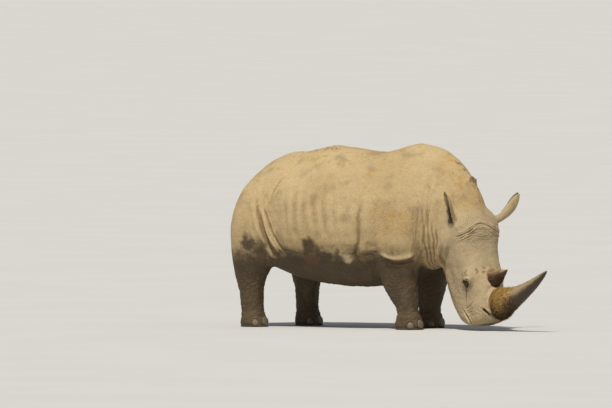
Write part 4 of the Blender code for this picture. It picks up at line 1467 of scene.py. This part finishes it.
def nail_look():
    look = Look("nail", 0.55, 0.4)
    ridge_share, low, _ = look.layer("nail")
    speck = look.clouds(90.0, 4.0, 0.65)
    colour = look.mixed((0.185, 0.145, 0.095), (0.105, 0.078, 0.048), look.ramp(ridge_share, 0.35, 0.9))
    soil = look.ramp(look.plus(low, speck, 0.4), 0.7, 1.25)
    colour = look.mixed(colour, (0.050, 0.036, 0.022), soil)
    colour = look.mixed(colour, look.ramp(speck, 0.3, 0.7, 0.8, 1.12), 1.0, "MULTIPLY")
    return look.finish(colour, look.bump(speck, 0.0014, strength=0.7))


def foot_centre(place):
    """The middle of the foot that a place belongs to, at the same height."""
    soles = np.array(SOLE_CENTRES)
    nearest = soles[np.argmin(np.linalg.norm(soles - place[:2], axis=1))]
    return np.array((*nearest, place[2]))


def make_nails():
    """All twelve toenails: domed shields with upright ridges and a worn lower rim."""
    nails = []
    for node in NAILS:
        form = solid_copy(node + "_form", [node])
        mesh = with_modifiers(node + "_form", form, ("SUBSURF", {"levels": 3}))
        points = points_of(mesh)
        middle = (points.min(axis=0) + points.max(axis=0)) / 2
        outward = unit(middle - foot_centre(middle))
        apart = points - middle
        points = middle + apart * 1.03 - np.outer(apart @ outward, outward) * 0.30 - outward * 0.002
        points[:, 2] = np.maximum(points[:, 2], 0.004)
        set_points(mesh, points)
        nails.append(mesh)
    mesh = joined("toenails", nails)
    points, normals = points_of(mesh), normals_of(mesh)
    drawn = stretched(points, UP, 7)
    ridges = noise(drawn, 0.006, 111) + 0.5 * noise(drawn, 0.003, 112)
    growth = noise(points * (0.3, 0.3, 1), 0.009, 113)
    ragged = 0.004 * noise(points, 0.012, 114) * eased(points[:, 2], 0.03, 0.012)
    move = 0.0008 * ridges + 0.0008 * growth + 0.0010 * rough_noise(points, 0.02, 115)
    points = points + normals * move[:, None]
    points[:, 2] = np.maximum(points[:, 2] + ragged, 0.003)
    set_points(mesh, points)
    colour_layer(mesh, "nail", (np.clip(0.5 + 0.4 * ridges, 0, 1), eased(points[:, 2], 0.045, 0.010)))
    worn_piece("toenails", mesh, nail_look(), NAILS)


# Eyes.


def eye_look():
    look = Look("eye", 0.10, 0.5)
    iris, pupil, white = look.layer("iris")
    fibres = look.clouds(420.0, 3.0)
    colour = look.mixed((0.020, 0.010, 0.005), (0.045, 0.022, 0.009), look.ramp(fibres, 0.35, 0.7))
    colour = look.mixed((0.060, 0.040, 0.028), colour, iris)
    colour = look.mixed(colour, (0.002, 0.002, 0.002), pupil)
    colour = look.mixed(colour, (0.020, 0.012, 0.008), look.times(white, 0.5))
    return look.finish(colour, look.bump(fibres, 0.0001, strength=0.2))


PUPIL_HALF_HIGH = 0.0020
PUPIL_HALF_LONG = 0.0042


def make_eyes():
    """Eyeballs with a bulging cornea, a dark iris and a level oval pupil."""
    for side_name, side in SIDES.items():
        outward = eye_axis(side)
        along = unit(ALONG - outward * (ALONG @ outward))
        across = np.cross(outward, along)
        rings = []
        turn = np.arange(64) * 2 * math.pi / 64
        for down in np.linspace(0.02, math.pi - 0.02, 40):
            cornea = EYE_RADIUS * (0.97 + 0.055 * math.exp(-((down / 0.52) ** 2)))
            ring = math.cos(down) * outward + math.sin(down) * (
                np.cos(turn)[:, None] * along + np.sin(turn)[:, None] * across
            )
            rings.append(ring * cornea)
        mesh = lofted("eyeball_" + side_name, np.array(rings))
        points = points_of(mesh)
        facing = points @ outward / np.linalg.norm(points, axis=1)
        apart = np.arccos(np.clip(facing, -1, 1)) * EYE_RADIUS
        oval = np.hypot(points @ along / PUPIL_HALF_HIGH, points @ across / PUPIL_HALF_LONG)
        pupil = eased(oval, 1.1, 0.8) * (facing > 0)
        colour_layer(mesh, "iris", (eased(apart, 0.0128, 0.0115), pupil, eased(apart, 0.0105, 0.0125)))
        set_points(mesh, points + eye_centre(side_name))
        worn_piece("eyeball_" + side_name, mesh, eye_look(), ["eye_" + side_name])


# Hairs, on the ear rims and the tail end.

FRINGE_START = 0.34
BRISTLES = 1500
BRISTLE_LOWEST_ROOT = 0.612
BRISTLE_END = 0.553


def ear_fringes():
    rng = np.random.default_rng(21)
    roots, leans, sides, places = [], [], [], []
    for side_name, side in SIDES.items():
        for share, centre, across, forward, tangent, width in ear_rings(side_name)[1]:
            if not FRINGE_START < share < 0.99:
                continue
            for rim in (-1, 1):
                for _ in range(26 if share > 0.6 else 14):
                    shift = rng.uniform(-0.5, 0.5) * 0.012
                    depth = rng.uniform(-0.004, 0.010)
                    root = centre + across * rim * (width - 0.004) + tangent * shift - forward * depth
                    lean = tangent * rng.uniform(0.5, 1.0) + across * rim * rng.uniform(0.1, 0.7)
                    lean = unit(lean + forward * rng.uniform(-0.1, 0.45))
                    roots.append(root)
                    leans.append(lean)
                    sides.append(unit(np.cross(lean, forward)))
                    row = (share - FRINGE_START) / 0.65 * 0.45 + (0.52 if side > 0 else 0.0)
                    places.append((row, 0.5 + 0.46 * rim + depth))
    lengths = rng.uniform(0.006, 0.016, len(roots))
    widths = rng.uniform(0.0004, 0.0007, len(roots))
    places = np.clip(np.array(places), 0, 1)
    roots, leans, sides = np.array(roots), np.array(leans), np.array(sides)
    return strips("ear_hairs", roots, leans, sides, lengths, widths, places, 0.10)


def tail_line(height):
    x = np.interp(height, TAIL_HEIGHTS, TAIL_X)
    y = np.interp(height, TAIL_HEIGHTS, TAIL_Y)
    return np.stack([x, y, height], axis=1)


def tail_bristles():
    rng = np.random.default_rng(22)
    count = BRISTLES
    height = rng.uniform(0.615, 0.80, count)
    at_end = rng.uniform(0, 1, count) < 0.35
    height = np.where(at_end, BRISTLE_LOWEST_ROOT + 0.02 * rng.uniform(0, 1, count), height)
    turn = rng.uniform(0, 2 * math.pi, count)
    outward = np.stack([0.55 * np.cos(turn), np.sin(turn), np.zeros(count)], axis=1)
    roots = tail_line(height) + outward * np.array((0.014, 0.011, 0))
    leans = -UP + outward * rng.uniform(0.02, 0.24, count)[:, None]
    leans = unit(leans + rng.normal(0, 0.05, (count, 3)))
    sides = unit(np.cross(leans, outward))
    room = np.maximum(height - BRISTLE_END, 0.02)
    lengths = np.minimum(rng.uniform(0.045, 0.085, count), room)
    widths = rng.uniform(0.0006, 0.0012, count)
    places = np.stack([turn / (2 * math.pi), (height - BRISTLE_LOWEST_ROOT) / 0.19], axis=1)
    places = np.clip(places, 0, 1)
    return strips("tail_bristles", roots, leans, sides, lengths, widths, places, 0.03)


def make_hairs():
    look = lock_look("hair", (0.035, 0.022, 0.013), (0.13, 0.085, 0.045), 0.55)
    worn_piece("ear_hairs", ear_fringes(), look, [])
    worn_piece("tail_bristles", tail_bristles(), look, [])


# Stage.


FLOOR_HALF = 400.0


def make_stage():
    corners = [(x * FLOOR_HALF, y * FLOOR_HALF, 0) for x, y in ((-1, -1), (1, -1), (1, 1), (-1, 1))]
    mesh = mesh_of("floor", corners, [(0, 1, 2, 3)])
    look = Look("floor", 0.9, 0.2)
    shade = look.ramp(look.clouds(0.6, 3.0), 0.3, 0.7, 0.585, 0.605)
    mesh.materials.append(look.finish(look.mixed(shade, (1.0, 0.99, 0.97), 1.0, "MULTIPLY")))
    floor = add_object("floor", mesh)

    world = bpy.data.worlds.new("studio")
    bpy.context.scene.world = world
    world.use_nodes = True
    background = world.node_tree.nodes["Background"]
    background.inputs["Color"].default_value = (0.86, 0.92, 1.0, 1)
    background.inputs["Strength"].default_value = 0.28


# The camera looks from 30 degrees ahead of the animal's right side, a little downwards.
VIEW_AZIMUTH = math.radians(30)
VIEW_ELEVATION = math.radians(1.5)
VIEW_DISTANCE = 150.0
VIEW_WIDTH = 5.82
VIEW_CENTRE_RIGHT = -0.407
VIEW_CENTRE_UP = 1.173
SENSOR = 36.0
CAMERA_RIGHT = np.array((math.cos(VIEW_AZIMUTH), math.sin(VIEW_AZIMUTH), 0.0))
CAMERA_FORWARD = np.array(
    (
        -math.sin(VIEW_AZIMUTH) * math.cos(VIEW_ELEVATION),
        math.cos(VIEW_AZIMUTH) * math.cos(VIEW_ELEVATION),
        -math.sin(VIEW_ELEVATION),
    )
)
CAMERA_UP = np.cross(CAMERA_RIGHT, CAMERA_FORWARD)


def make_camera():
    target = BODY_ORIGIN + CAMERA_RIGHT * VIEW_CENTRE_RIGHT + CAMERA_UP * VIEW_CENTRE_UP
    data = bpy.data.cameras.new("camera")
    data.sensor_width = SENSOR
    data.lens = SENSOR * VIEW_DISTANCE / VIEW_WIDTH
    data.clip_end = 1000.0
    camera = add_object("camera", data)
    camera.location = Vector(target - CAMERA_FORWARD * VIEW_DISTANCE)
    camera.rotation_mode = "QUATERNION"
    camera.rotation_quaternion = Vector(CAMERA_FORWARD).to_track_quat("-Z", "Y")
    bpy.context.scene.camera = camera
    bpy.context.scene.view_settings.view_transform = "Standard"


def add_sun(name, towards, strength, angle, colour):
    """A distant lamp that shines from the given direction."""
    data = bpy.data.lights.new(name, "SUN")
    data.energy = strength
    data.angle = math.radians(angle)
    data.color = colour
    light = add_object(name, data)
    light.rotation_mode = "QUATERNION"
    light.rotation_quaternion = Vector(-towards).to_track_quat("-Z", "Y")


def make_lights():
    """A high lamp from the camera's left, and a weak broad fill from its right."""
    back = -CAMERA_FORWARD
    add_sun("key", 0.86 * UP + 0.50 * back - 0.16 * CAMERA_RIGHT, 3.5, 6, (1.0, 0.95, 0.86))
    add_sun("fill", 0.30 * UP + 0.70 * back + 0.65 * CAMERA_RIGHT, 0.12, 60, (0.88, 0.94, 1.0))


make_stage()
make_skin()
make_horns()
make_nails()
make_eyes()
make_hairs()
make_lights()
make_camera()
